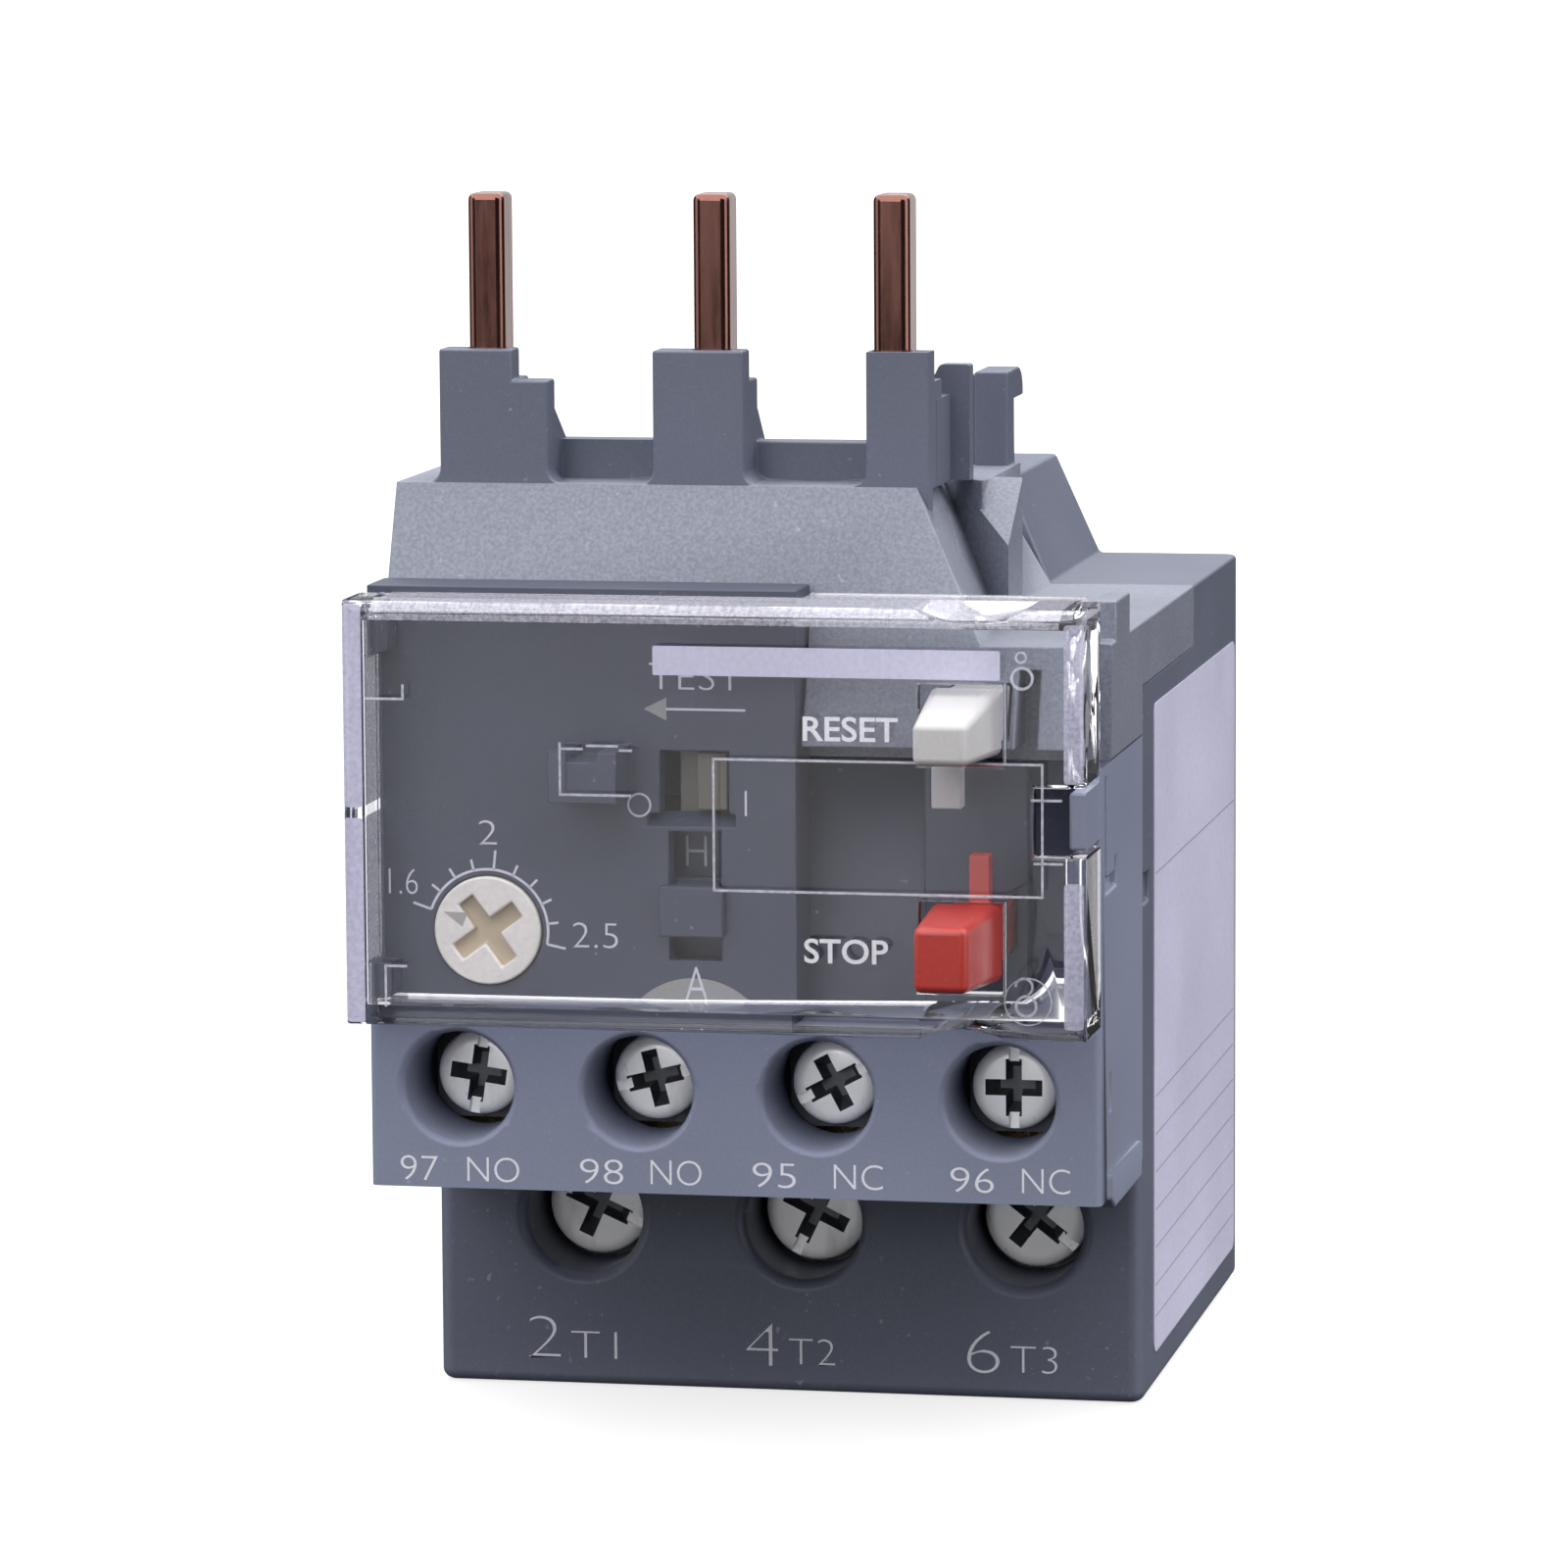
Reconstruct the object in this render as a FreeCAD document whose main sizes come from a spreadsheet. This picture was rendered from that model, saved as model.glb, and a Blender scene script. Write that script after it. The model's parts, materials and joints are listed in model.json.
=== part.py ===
"""Thermal overload relay with plug-in pins, modelled as a parametric assembly in millimetres.

Frame: origin at the centre of the base's underside, X to the right, -Y to the front, Z up.
"""
import FreeCAD, Part
import os
import re
import Sketcher
from FreeCAD import Vector

# Driving dimensions, by group. Every other size and place is worked out from these.
SIZES = {
    # Base and upper housing
    "body_width": 45.0,
    "base_depth": 42.6,
    "base_height": 45.0,
    "shoulder_rise": 4.0,
    "roof_rise": 6.6,
    "ridge_rise": 9.0,
    "wall": 1.8,
    "corner_round": 1.0,
    "foot_round": 0.7,
    "seat_gap": 0.05,
    "slide_gap": 0.15,
    "rear_plate": 2.0,
    "rear_rim": 1.3,
    "roof_left_inset": 1.1,
    "cap_left_inset": 0.4,
    "roof_low_inset": 9.3,
    "roof_top_inset": 12.3,
    "ridge_inset": 11.8,
    "slope_low_inset": 7.5,
    "ridge_forward": 10.0,
    "ridge_flat": 12.0,
    "valley_rise": 3.4,
    "slope_foot_reach": 3.8,
    "slope_foot_rise": 1.0,
    "facet_run": 1.2,
    # Front block and its panel
    "front_reach": 16.8,
    "block_clear": 4.8,
    "aux_rise": 6.2,
    "aux_cap": 4.5,
    "block_drop": 3.0,
    "control_depth": 12.6,
    "panel_over": 10.4,
    "panel_wall": 1.6,
    "panel_inset": 0.2,
    "recess_wall": 1.3,
    "recess_width": 18.36,
    "guide_left": 3.8,
    "guide_right": 2.6,
    "guide_proud": 0.8,
    # Auxiliary terminals, four in a row
    "aux_margin": 0.3,
    "aux_offset": -0.3,
    "aux_well_radius": 3.35,
    "aux_well_flare": 0.4,
    "aux_head_radius": 2.65,
    "aux_head_thickness": 1.8,
    "aux_shank_radius": 1.5,
    "aux_shank_end": 1.1,
    "aux_washer_half": 3.0,
    "aux_washer_thickness": 0.8,
    "aux_wire_gap": 4.4,
    "aux_wire_width": 4.8,
    "aux_plate_half": 3.5,
    "aux_plate_thickness": 1.0,
    "aux_back_room": 1.8,
    "aux_headroom": 0.9,
    "aux_pocket_half": 4.0,
    # Load terminals, three in a row
    "pole_margin": 1.425,
    "pole_wall": 1.85,
    "load_offset": 0.95,
    "load_height": 10.8,
    "load_well_radius": 3.7,
    "load_well_flare": 0.7,
    "load_head_radius": 3.3,
    "load_head_depth": 4.6,
    "load_head_thickness": 2.0,
    "load_shank_radius": 2.0,
    "load_shank_end": 1.6,
    "load_washer_half": 3.6,
    "load_washer_thickness": 1.0,
    "load_wire_gap": 4.8,
    "load_wire_width": 5.6,
    "load_plate_half": 4.2,
    "load_plate_thickness": 1.6,
    "load_riser_width": 2.0,
    "load_headroom": 1.6,
    "chamber_floor": 2.0,
    "chamber_drop": 2.0,
    # Plug pins, towers and hook
    "pin_inset": 5.9,
    "pin_ridge_gap": 2.2,
    "pin_share": 0.55777,
    "pin_width": 2.25,
    "pin_depth": 3.0,
    "pin_exposed": 9.45,
    "pin_edge_round": 0.55,
    "strap_rise": 1.0,
    "strap_thickness": 1.2,
    "strap_width": 3.0,
    "tower_height": 8.15,
    "tower_depth": 4.6,
    "tower_lip": 2.2,
    "pin_setback": 0.75,
    "tower_setback": 0.3,
    "tower_one_left": 2.8,
    "tower_one_right": 1.75,
    "tower_two_left": 3.5,
    "tower_two_right": 2.1,
    "tower_three_left": 1.4,
    "tower_three_right": 2.4,
    "tower_step_width": 2.2,
    "tower_step_drop": 1.9,
    "tower_foot_round": 0.9,
    "gusset_width": 0.9,
    "gusset_reach": 10.4,
    "gusset_height": 4.5,
    "rib_height": 2.4,
    "rib_thickness": 1.8,
    "rib_setback": 1.0,
    "guard_width": 2.3,
    "guard_depth": 1.5,
    "guard_height": 6.9,
    "guard_setback": 2.8,
    "guard_overhang": 1.44,
    "guard_slant": 0.9,
    "web_height": 5.1,
    "web_width": 1.1,
    "hook_width": 2.1,
    "hook_depth": 2.6,
    "hook_height": 5.7,
    "hook_nose": 3.4,
    "hook_lip": 1.9,
    "hook_round": 1.6,
    "hook_setback": 13.1,
    "hook_inset": 0.05,
    "hook_seat_drop": 0.2,
    "hook_seat_over": 0.4,
    "chute_start": 5.4,
    "chute_run": 6.5,
    "chute_drop": 4.4,
    "chute_over": 2.25,
    "corner_post_width": 1.4,
    "corner_post_depth": 5.4,
    "corner_post_height": 2.4,
    "corner_post_forward": 5.2,
    # Heaters and trip bars
    "heater_clear": 0.8,
    "bimetal_width": 3.6,
    "bimetal_thickness": 0.9,
    "winding_half": 1.9,
    "winding_wall": 0.8,
    "winding_clear": 2.4,
    "winding_drop": 6.0,
    "winding_turns": 8,
    "ribbon_height": 1.1,
    "ribbon_proud": 0.35,
    "bar_rise": 8.4,
    "bar_thickness": 1.2,
    "bar_space": 0.4,
    "bar_rail": 1.2,
    "bar_clear": 0.6,
    "bar_travel": 1.2,
    "bar_left": 2.9,
    "bar_right": 4.6,
    # Compensating lever
    "lever_thickness": 0.8,
    "lever_pivot_rise": 10.0,
    "lever_pin_radius": 0.75,
    "lever_hub_radius": 1.5,
    "lever_hub_front": 3.0,
    "lever_hub_length": 5.0,
    "lever_nose_drop": 6.0,
    "lever_nose_height": 3.0,
    "lever_nose_reach": 5.6,
    "window_margin": 1.2,
    # Trip rocker and contacts
    "rocker_left": 10.8,
    "rocker_right": 9.5,
    "rocker_pivot_rise": 2.8,
    "rocker_clear": 0.1,
    "rocker_pin_radius": 0.6,
    "rocker_hub_radius": 1.1,
    "rocker_arm_width": 2.2,
    "rocker_arm_thickness": 1.0,
    "rocker_arm_top": 13.4,
    "rocker_finger": 1.6,
    "finger_clear": 0.5,
    "lug_width": 1.2,
    "contact_left": 8.6,
    "contact_right": 7.4,
    "contact_rise": 9.8,
    "contact_radius": 0.9,
    "contact_thickness": 0.35,
    "contact_gap": 1.0,
    "blade_thickness": 0.3,
    "blade_width": 2.6,
    "blade_setback": 2.7,
    "blade_root_rise": 0.9,
    "blade_root_height": 1.4,
    "blade_top": 13.2,
    "riser_top": 11.2,
    "riser_thickness": 0.6,
    # Controls on the panel
    "dial_inset": 7.6,
    "dial_radius": 3.3,
    "dial_proud": 0.3,
    "dial_shaft_radius": 2.2,
    "dial_lip": 0.2,
    "dial_flange": 0.8,
    "cam_radius": 2.6,
    "cam_offset": 0.7,
    "cam_thickness": 1.1,
    "cam_setback": 4.6,
    "dial_slot_width": 1.1,
    "dial_slot_length": 4.6,
    "dial_slot_depth": 0.7,
    "dial_slot_turn": 36,
    "window_inset": 4.14,
    "window_width": 4.2,
    "panel_span": 15.7,
    "test_window_rise": 12.6,
    "test_window_height": 3.8,
    "test_travel": 2.0,
    "test_tail_width": 1.6,
    "test_tail_clear": 0.75,
    "mode_inset": 4.62,
    "mode_slot_width": 3.19,
    "mode_slot_rise": 3.7,
    "mode_slot_height": 7.8,
    "mode_knob_rise": 5.2,
    "mode_knob_height": 3.1,
    "mode_knob_overlap": 0.5,
    "mode_knob_proud": 0.7,
    "mode_plate_margin": 1.2,
    "slider_thickness": 1.2,
    "rail_height": 0.9,
    "post_inset": 10.14,
    "post_width": 4.2,
    "post_rise": 13.6,
    "post_height": 3.1,
    "post_reach": 4.0,
    "post_notch": 1.2,
    # Push buttons
    "button_inset": 7.45,
    "button_width": 4.3,
    "button_tip_width": 3.2,
    "button_tip_shift": -0.3,
    "button_reach": 5.3,
    "button_root": 0.8,
    "button_round": 0.5,
    "button_tail": 4.5,
    "button_travel": 2.0,
    "button_shaft_width": 3.4,
    "button_shaft_height": 3.0,
    "button_collar": 0.45,
    "button_collar_length": 1.0,
    "reset_slot_gap": 0.1,
    "reset_slot_width": 1.3,
    "reset_slot_height": 4.6,
    "reset_height": 4.0,
    "reset_tip_height": 2.5,
    "reset_tip_drop": 0.55,
    "reset_leg_width": 1.8,
    "reset_leg_shift": -1.25,
    "reset_leg_length": 3.3,
    "stop_rise": 5.7,
    "stop_height": 4.6,
    "stop_tip_height": 3.9,
    "stop_leg_width": 1.2,
    "stop_leg_shift": 0.7,
    "stop_leg_length": 2.9,
    "leg_thickness": 1.4,
    "spring_radius": 1.35,
    "spring_wire": 0.22,
    "spring_turns": 4,
    # Sealing cover
    "cover_reach": 5.9,
    "cover_wall": 1.2,
    "cover_gap": 0.1,
    "cover_top_drop": 0.4,
    "cover_top_gap": 1.3,
    "cover_opening_margin": 0.4,
    "cover_round": 0.8,
    "hinge_inset": 1.1,
    "hinge_forward": 1.5,
    "hinge_pin_radius": 0.8,
    "hinge_pin_length": 1.7,
    "hinge_ear_radius": 1.05,
    "hinge_ear_height": 2.0,
    "hinge_wall_clear": 0.8,
    "latch_drop": 4.2,
    "latch_height": 3.4,
    "latch_reach": 5.0,
    "latch_thickness": 1.1,
    "latch_notch_margin": 0.35,
    "latch_notch_width": 3.1,
    "scoop_shift": 0.45,
    "scoop_width": 6.7,
    "scoop_depth": 0.8,
    "arch_width": 5.3,
    "arch_depth": 0.7,
    # Side of the front block
    "side_cut": 0.6,
    "side_lip_proud": 0.3,
    "side_lip_height": 1.5,
    "side_lip_length": 12.0,
    "side_lip_back": 2.4,
    "side_slot_width": 0.6,
    "side_slot_height": 2.3,
    "side_slot_forward": 13.3,
    "side_slot_rise": 5.2,
    "latch_channel": 0.9,
    "latch_channel_drop": 7.0,
    "latch_channel_run": 4.6,
    "side_window_run": 2.8,
    "side_window_height": 1.8,
    "side_window_drop": 8.8,
}

# Places worked out from the driving dimensions, in the frame's own axes.
PLACES = {
    "half_width": "body_width / 2",
    "roof_right_low": "half_width - roof_low_inset",
    "roof_right_top": "half_width - roof_top_inset",
    "ridge_right": "half_width - ridge_inset",
    "slope_right_low": "half_width - slope_low_inset",
    "panel_right": "half_width - recess_width",
    "aux_pitch": "(body_width - 2 * aux_margin) / 4",
    "load_pitch": "(body_width - 2 * pole_margin) / 3",
    "chamber_width": "load_pitch - pole_wall",
    "pin_left": "-half_width + pin_inset",
    "pin_right": "ridge_right - pin_ridge_gap",
    "pin_middle": "pin_left + (pin_right - pin_left) * pin_share",
    "base_front": "-base_depth / 2",
    "base_back": "base_depth / 2",
    "cavity_back": "base_back - rear_plate",
    "shoulder": "base_height + shoulder_rise",
    "roof": "shoulder + roof_rise",
    "ridge": "shoulder + ridge_rise",
    "ridge_front": "base_front - ridge_forward",
    "ridge_back": "ridge_front + ridge_flat",
    "tower_front": "ridge_front + tower_setback",
    "tower_back": "tower_front + tower_depth",
    "tower_top": "ridge + tower_height",
    "pin_y": "tower_front + pin_setback + pin_depth / 2",
    "pin_top": "tower_top + pin_exposed",
    "strap_low": "base_height + strap_rise",
    "strap_high": "strap_low + strap_thickness",
    "block_face": "base_front - front_reach",
    "panel_back": "base_front - control_depth",
    "block_floor": "load_height + block_clear",
    "aux_height": "block_floor + aux_rise",
    "aux_top": "aux_height + aux_cap",
    "block_top": "base_height - block_drop",
    "panel_top": "block_top + panel_over",
    "slope_foot_y": "panel_back - slope_foot_reach",
    "slope_foot": "block_top + slope_foot_rise",
    "slope_run": "ridge_front - slope_foot_y",
    "slope_at_panel": "ridge - (ridge_front - panel_back) * (ridge - slope_foot) / slope_run",
    "slope_inner": "slope_at_panel - wall",
    "aux_plate_back": "base_front - wall - aux_back_room",
    "aux_plate_front": "aux_plate_back - aux_plate_thickness",
    "aux_wire_front": "aux_plate_front - aux_wire_gap",
    "aux_washer_front": "aux_wire_front - aux_washer_thickness",
    "aux_head_face": "aux_washer_front - aux_head_thickness",
    "aux_floor": "block_floor + wall",
    "aux_pocket_top": "aux_height + aux_washer_half + aux_headroom",
    "load_head_face": "base_front + load_head_depth",
    "load_washer_front": "load_head_face + load_head_thickness",
    "load_wire_front": "load_washer_front + load_washer_thickness",
    "load_plate_front": "load_wire_front + load_wire_gap",
    "load_plate_back": "load_plate_front + load_plate_thickness",
    "load_pocket_top": "load_height + load_washer_half + load_headroom",
    "bimetal_near": "load_plate_back + bar_clear + bar_rail",
    "bimetal_far": "bimetal_near + bimetal_width",
    "bimetal_mid": "bimetal_near + bimetal_width / 2",
    "seam_back": "bimetal_far + heater_clear + wall",
    "bar_low": "load_height + bar_rise",
    "bar_second": "bar_low + bar_thickness + bar_space",
    "bar_top": "bar_second + bar_thickness",
    "bar_front": "bimetal_near - bar_rail",
    "bar_back": "bimetal_far + bar_rail",
    "winding_low": "bar_top + winding_clear",
    "winding_high": "strap_low - winding_drop",
    "winding_length": "winding_high - winding_low",
    "pole_left": "load_offset - load_pitch",
    "pole_right": "load_offset + load_pitch",
    "bar_end_left": "pole_left - bar_left",
    "bar_end_right": "pole_right + bar_right",
    "leg_back": "slope_foot_y - button_travel - slide_gap",
    "hook_left": "ridge_right - hook_inset",
    "hook_front": "tower_back + hook_setback",
    "hook_back": "hook_front + hook_depth",
    "hook_top": "ridge + hook_height",
    "guard_right": "ridge_right + guard_overhang",
    "guard_left": "guard_right - guard_width",
    "guard_front": "tower_back + guard_setback",
    "hook_right": "hook_left + hook_width",
    "hook_seat": "ridge - hook_seat_drop",
    "chute_back": "tower_back + chute_start",
    "chute_front": "chute_back - chute_run",
    "shaft_half": "button_shaft_width / 2",
    "shaft_rise": "button_shaft_height / 2",
    "lever_x": "bar_end_left - slide_gap - lever_thickness / 2",
    "lever_pivot": "bar_low + lever_pivot_rise",
    "hub_front": "base_front + lever_hub_front",
    "hub_back": "hub_front + lever_hub_length",
    "lever_nose_low": "block_top - lever_nose_drop",
    "lever_nose_high": "lever_nose_low + lever_nose_height",
    "rocker_pivot": "aux_pocket_top + rocker_pivot_rise",
    "rocker_y": "panel_back + wall + rocker_hub_radius + rocker_clear",
    "blade_root": "aux_pocket_top + blade_root_rise",
    "blade_front": "rocker_y + blade_setback",
    "blade_back": "blade_front + blade_thickness",
    "contact_height": "aux_pocket_top + contact_rise",
    "contact_x_left": "-contact_left",
    "contact_x_right": "contact_right",
    "dial_x": "-half_width + dial_inset",
    "dial_flange_radius": "dial_radius + dial_lip",
    "dial_height": "aux_top + panel_wall + slide_gap + dial_flange_radius",
    "test_window_right": "panel_right - window_inset",
    "test_window_left": "test_window_right - window_width",
    "mode_slot_right": "panel_right - mode_inset",
    "mode_slot_left": "mode_slot_right - mode_slot_width",
    "post_right": "panel_right - post_inset",
    "post_left": "post_right - post_width",
    "button_x": "half_width - button_inset",
    "scoop_x": "button_x + scoop_shift",
    "post_low": "aux_top + post_rise",
    "panel_front_back": "block_face + panel_wall",
    "panel_room": "block_top - aux_top",
    "window_low": "aux_top + panel_room * test_window_rise / panel_span",
    "window_high": "window_low + test_window_height",
    "mode_low": "aux_top + panel_room * mode_slot_rise / panel_span",
    "mode_high": "mode_low + panel_room * mode_slot_height / panel_span",
    "knob_low": "aux_top + panel_room * mode_knob_rise / panel_span",
    "knob_high": "knob_low + mode_knob_height",
    "slider_front": "panel_front_back + slide_gap",
    "slider_back": "slider_front + slider_thickness",
    "cover_front": "block_face - cover_reach",
    "cover_low": "aux_top + cover_gap",
    "cover_high": "panel_top - cover_top_drop",
    "hinge_x": "-half_width + hinge_inset",
    "hinge_y": "block_face - hinge_forward",
    "latch_low": "block_top - latch_drop",
    "latch_high": "latch_low + latch_height",
    "button_root_y": "cover_front + cover_wall + button_root",
    "button_tip_y": "cover_front - button_reach",
    "button_back": "panel_back + button_tail",
    "reset_z": "shoulder - wall - shaft_rise - button_collar - seat_gap",
    "stop_z": "aux_top + stop_rise",
    "spring_end": "base_front - wall",
}

document = FreeCAD.newDocument("overload_relay")
pieces = []
cuts = []


def fill_sheet(name, rows):
    """Write one named sheet with an aliased cell for each row."""
    sheet = document.addObject("Spreadsheet::Sheet", name)
    for number, (alias, content) in enumerate(rows.items(), start=1):
        sheet.set("A%d" % number, alias)
        sheet.set("B%d" % number, str(content))
        sheet.setAlias("B%d" % number, alias)
    return sheet


def in_sheets(formula):
    """Turn the plain names in a formula into references to the two sheets."""
    def reference(match):
        word = match.group(0)
        if word in SIZES:
            return "Sizes." + word
        if word in PLACES:
            return "Places." + word
        return word
    return re.sub(r"[A-Za-z_]+", reference, str(formula))


sizes = fill_sheet("Sizes", SIZES)
document.recompute()
places = fill_sheet("Places", {name: "=" + in_sheets(formula) for name, formula in PLACES.items()})
document.recompute()


def value(formula):
    """The number that a formula gives with the present sizes."""
    return float(places.evalExpression(in_sheets(formula)))


def bind(feature, prop, formula):
    feature.setExpression(prop, in_sheets(formula))


def solid(name):
    body = document.addObject("PartDesign::Body", name)
    body.Label = name
    pieces.append(body)
    return body


def rectangle(u_low, u_high, v_low, v_high):
    return [(u_low, v_low), (u_high, v_low), (u_high, v_high), (u_low, v_high)]


def circle(u_centre, v_centre, radius):
    return (u_centre, v_centre, radius)


def draw_polygon(sketch, corners):
    """Closed outline whose corners are each held by two bound distances."""
    first = sketch.GeometryCount
    spots = [Vector(value(u), value(v), 0) for u, v in corners]
    count = len(spots)
    for index in range(count):
        sketch.addGeometry(Part.LineSegment(spots[index], spots[(index + 1) % count]))
    for index in range(count):
        following = first + (index + 1) % count
        sketch.addConstraint(Sketcher.Constraint("Coincident", first + index, 2, following, 1))
    for index, (u, v) in enumerate(corners):
        hold_point(sketch, first + index, 1, u, v)


def hold_point(sketch, element, end, u, v):
    """Two bound distances from the sketch's origin to one point of an element."""
    for kind, formula in (("DistanceX", u), ("DistanceY", v)):
        held = sketch.addConstraint(Sketcher.Constraint(kind, -1, 1, element, end, value(formula)))
        bind(sketch, "Constraints[%d]" % held, formula)


def draw_circle(sketch, u, v, radius):
    centre = Vector(value(u), value(v), 0)
    ring = sketch.addGeometry(Part.Circle(centre, Vector(0, 0, 1), value(radius)))
    hold_point(sketch, ring, 3, u, v)
    held = sketch.addConstraint(Sketcher.Constraint("Radius", ring, value(radius)))
    bind(sketch, "Constraints[%d]" % held, radius)


def draw(body, plane, offset, outlines):
    """Sketch on one of the body's own origin planes, moved along the plane's axis."""
    sketch = body.newObject("Sketcher::SketchObject", body.Name + "_sketch")
    planes = {feature.Role: feature for feature in body.Origin.OriginFeatures}
    sketch.AttachmentSupport = [(planes[plane + "_Plane"], "")]
    sketch.MapMode = "FlatFace"
    sign = "-" if plane == "XZ" else ""
    bind(sketch, "AttachmentOffset.Base.z", "%s(%s)" % (sign, offset))
    for outline in outlines:
        if isinstance(outline, tuple):
            draw_circle(sketch, *outline)
        else:
            draw_polygon(sketch, outline)
    return sketch


def extrude(body, plane, start, end, *outlines):
    """Pad the outlines from one place to another along the plane's axis."""
    pad = body.newObject("PartDesign::Pad", body.Name + "_pad")
    pad.Profile = draw(body, plane, start, outlines)
    bind(pad, "Length", "(%s) - (%s)" % (end, start))
    pad.Reversed = plane == "XZ"
    return pad


def cut(body, plane, start, end, *outlines):
    """Pocket the outlines from one place to another along the plane's axis."""
    before = body.Tip
    pocket = body.newObject("PartDesign::Pocket", body.Name + "_pocket")
    pocket.Profile = draw(body, plane, start, outlines)
    bind(pocket, "Length", "(%s) - (%s)" % (end, start))
    pocket.Reversed = plane != "XZ"
    cuts.append((before, pocket))
    return pocket


def straight_edges(body, direction, wanted):
    """Names of the straight edges along a direction whose middle passes the test."""
    document.recompute()
    axis = {"X": Vector(1, 0, 0), "Y": Vector(0, 1, 0), "Z": Vector(0, 0, 1)}[direction]
    names = []
    for number, edge in enumerate(body.Tip.Shape.Edges, start=1):
        if edge.Curve.TypeId != "Part::GeomLine" or abs(edge.Curve.Direction.dot(axis)) < 0.999:
            continue
        if wanted(edge.CenterOfMass):
            names.append("Edge%d" % number)
    return names


def flat_edges(body, level):
    """Names of the edges that lie in one level plane."""
    document.recompute()
    height = value(level)
    return ["Edge%d" % number for number, edge in enumerate(body.Tip.Shape.Edges, start=1)
            if all(abs(corner.Point.z - height) < 1e-6 for corner in edge.Vertexes)]


def round_edges(body, radius, names):
    tip = body.Tip
    rounded = body.newObject("PartDesign::Fillet", body.Name + "_rounding")
    rounded.Base = (tip, names)
    bind(rounded, "Radius", radius)
    return rounded


def flare_mouths(body, size, radius, face_y):
    """Chamfer the round mouths that lie in one upright plane."""
    document.recompute()
    tip = body.Tip
    names = []
    for number, edge in enumerate(tip.Shape.Edges, start=1):
        round_edge = edge.Curve.TypeId == "Part::GeomCircle" and near(edge.Curve.Radius, radius)
        if round_edge and near(edge.CenterOfMass.y, face_y):
            names.append("Edge%d" % number)
    flare = body.newObject("PartDesign::Chamfer", body.Name + "_flare")
    flare.Base = (tip, names)
    bind(flare, "Size", size)


def near(number, formula):
    return abs(number - value(formula)) < 1e-6


def load_x(index):
    return "load_offset + (%d) * load_pitch" % (index - 1)


def aux_x(index):
    return "aux_offset + (%s) * aux_pitch" % (index - 1.5)


def shaft_hole(height):
    """Guide opening of a button's shaft, with running room all round."""
    return rectangle("button_x - shaft_half - slide_gap", "button_x + shaft_half + slide_gap",
                     height + " - shaft_rise - slide_gap", height + " + shaft_rise + slide_gap")


def lever_window():
    """Opening between base and front block that the compensating lever's nose swings in."""
    return rectangle("lever_x - window_margin", "lever_x + lever_thickness + 2 * window_margin",
                     "lever_nose_low - window_margin", "lever_nose_high + window_margin")


PIN_X = ("pin_left", "pin_middle", "pin_right")


def make_base_housing():
    """Rear housing: three pole chambers behind screw wells, with the shoulder and rear roof."""
    body = solid("base_housing")
    extrude(body, "YZ", "-half_width", "half_width", [
        ("base_front", 0), ("base_back", 0), ("base_back", "shoulder"), ("seam_back", "shoulder"),
        ("seam_back", "base_height"), ("base_front", "base_height")])
    round_edges(body, "corner_round", straight_edges(
        body, "Z", lambda spot: near(abs(spot.x), "half_width") and not near(spot.y, "seam_back")))
    round_edges(body, "foot_round", flat_edges(body, 0))
    extrude(body, "XZ", "seam_back", "base_back", [
        ("-half_width + roof_left_inset", "shoulder - wall"), ("roof_right_low", "shoulder - wall"),
        ("roof_right_low", "shoulder"), ("roof_right_top", "roof"),
        ("-half_width + 2 * roof_left_inset", "roof")])
    cut(body, "YZ", "-half_width", "half_width", [
        ("seam_back", "shoulder"), ("seam_back + facet_run", "roof"), ("seam_back", "roof")])
    cut(body, "XZ", "cavity_back", "base_back", rectangle(
        "-half_width + rear_rim", "half_width - rear_rim", "rear_rim", "base_height - rear_rim"))
    terminal_wall = "load_washer_front - slide_gap"
    for index in range(3):
        x = load_x(index)
        roof = "base_height - chamber_drop"
        cut(body, "YZ", x + " - chamber_width / 2", x + " + chamber_width / 2", [
            (terminal_wall, "chamber_floor"), ("cavity_back", "chamber_floor"),
            ("cavity_back", roof), ("seam_back - wall", roof),
            ("seam_back - wall", "base_height"), ("base_front + wall", "base_height"),
            ("base_front + wall", "load_pocket_top"), (terminal_wall, "load_pocket_top")])
        cut(body, "XY", 0, "chamber_floor", rectangle(
            x + " - load_wire_width / 2", x + " + load_wire_width / 2",
            "load_wire_front", "load_plate_front"))
    cut(body, "YZ", load_x(0), load_x(2), rectangle(
        "bar_front - slide_gap", "bar_back + slide_gap", "bar_low - slide_gap", "bar_top + slide_gap"))
    cut(body, "XZ", "base_front", "base_front + wall", lever_window())
    cut(body, "XZ", "base_front", "base_front + wall", circle(
        "lever_x", "lever_pivot", "lever_pin_radius + seat_gap"))
    cut(body, "YZ", "half_width - side_cut", "half_width", rectangle(
        "base_front", "base_front + side_window_run",
        "block_top - side_window_drop - side_window_height", "block_top - side_window_drop"))
    cut(body, "XZ", "base_front", terminal_wall,
        *[circle(load_x(index), "load_height", "load_well_radius") for index in range(3)])
    flare_mouths(body, "load_well_flare", "load_well_radius", "base_front")


def make_rear_cover():
    """Plate let into the back of the base, with a shallow framed field."""
    body = solid("rear_cover")
    rim = "rear_rim + seat_gap"
    extrude(body, "XZ", "cavity_back", "base_back", rectangle(
        "-half_width + " + rim, "half_width - (%s)" % rim, rim, "base_height - (%s)" % rim))
    field = "4 * rear_rim"
    cut(body, "XZ", "base_back - rear_plate / 4", "base_back", rectangle(
        "-half_width + " + field, "half_width - " + field, field, "base_height - " + field))


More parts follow.
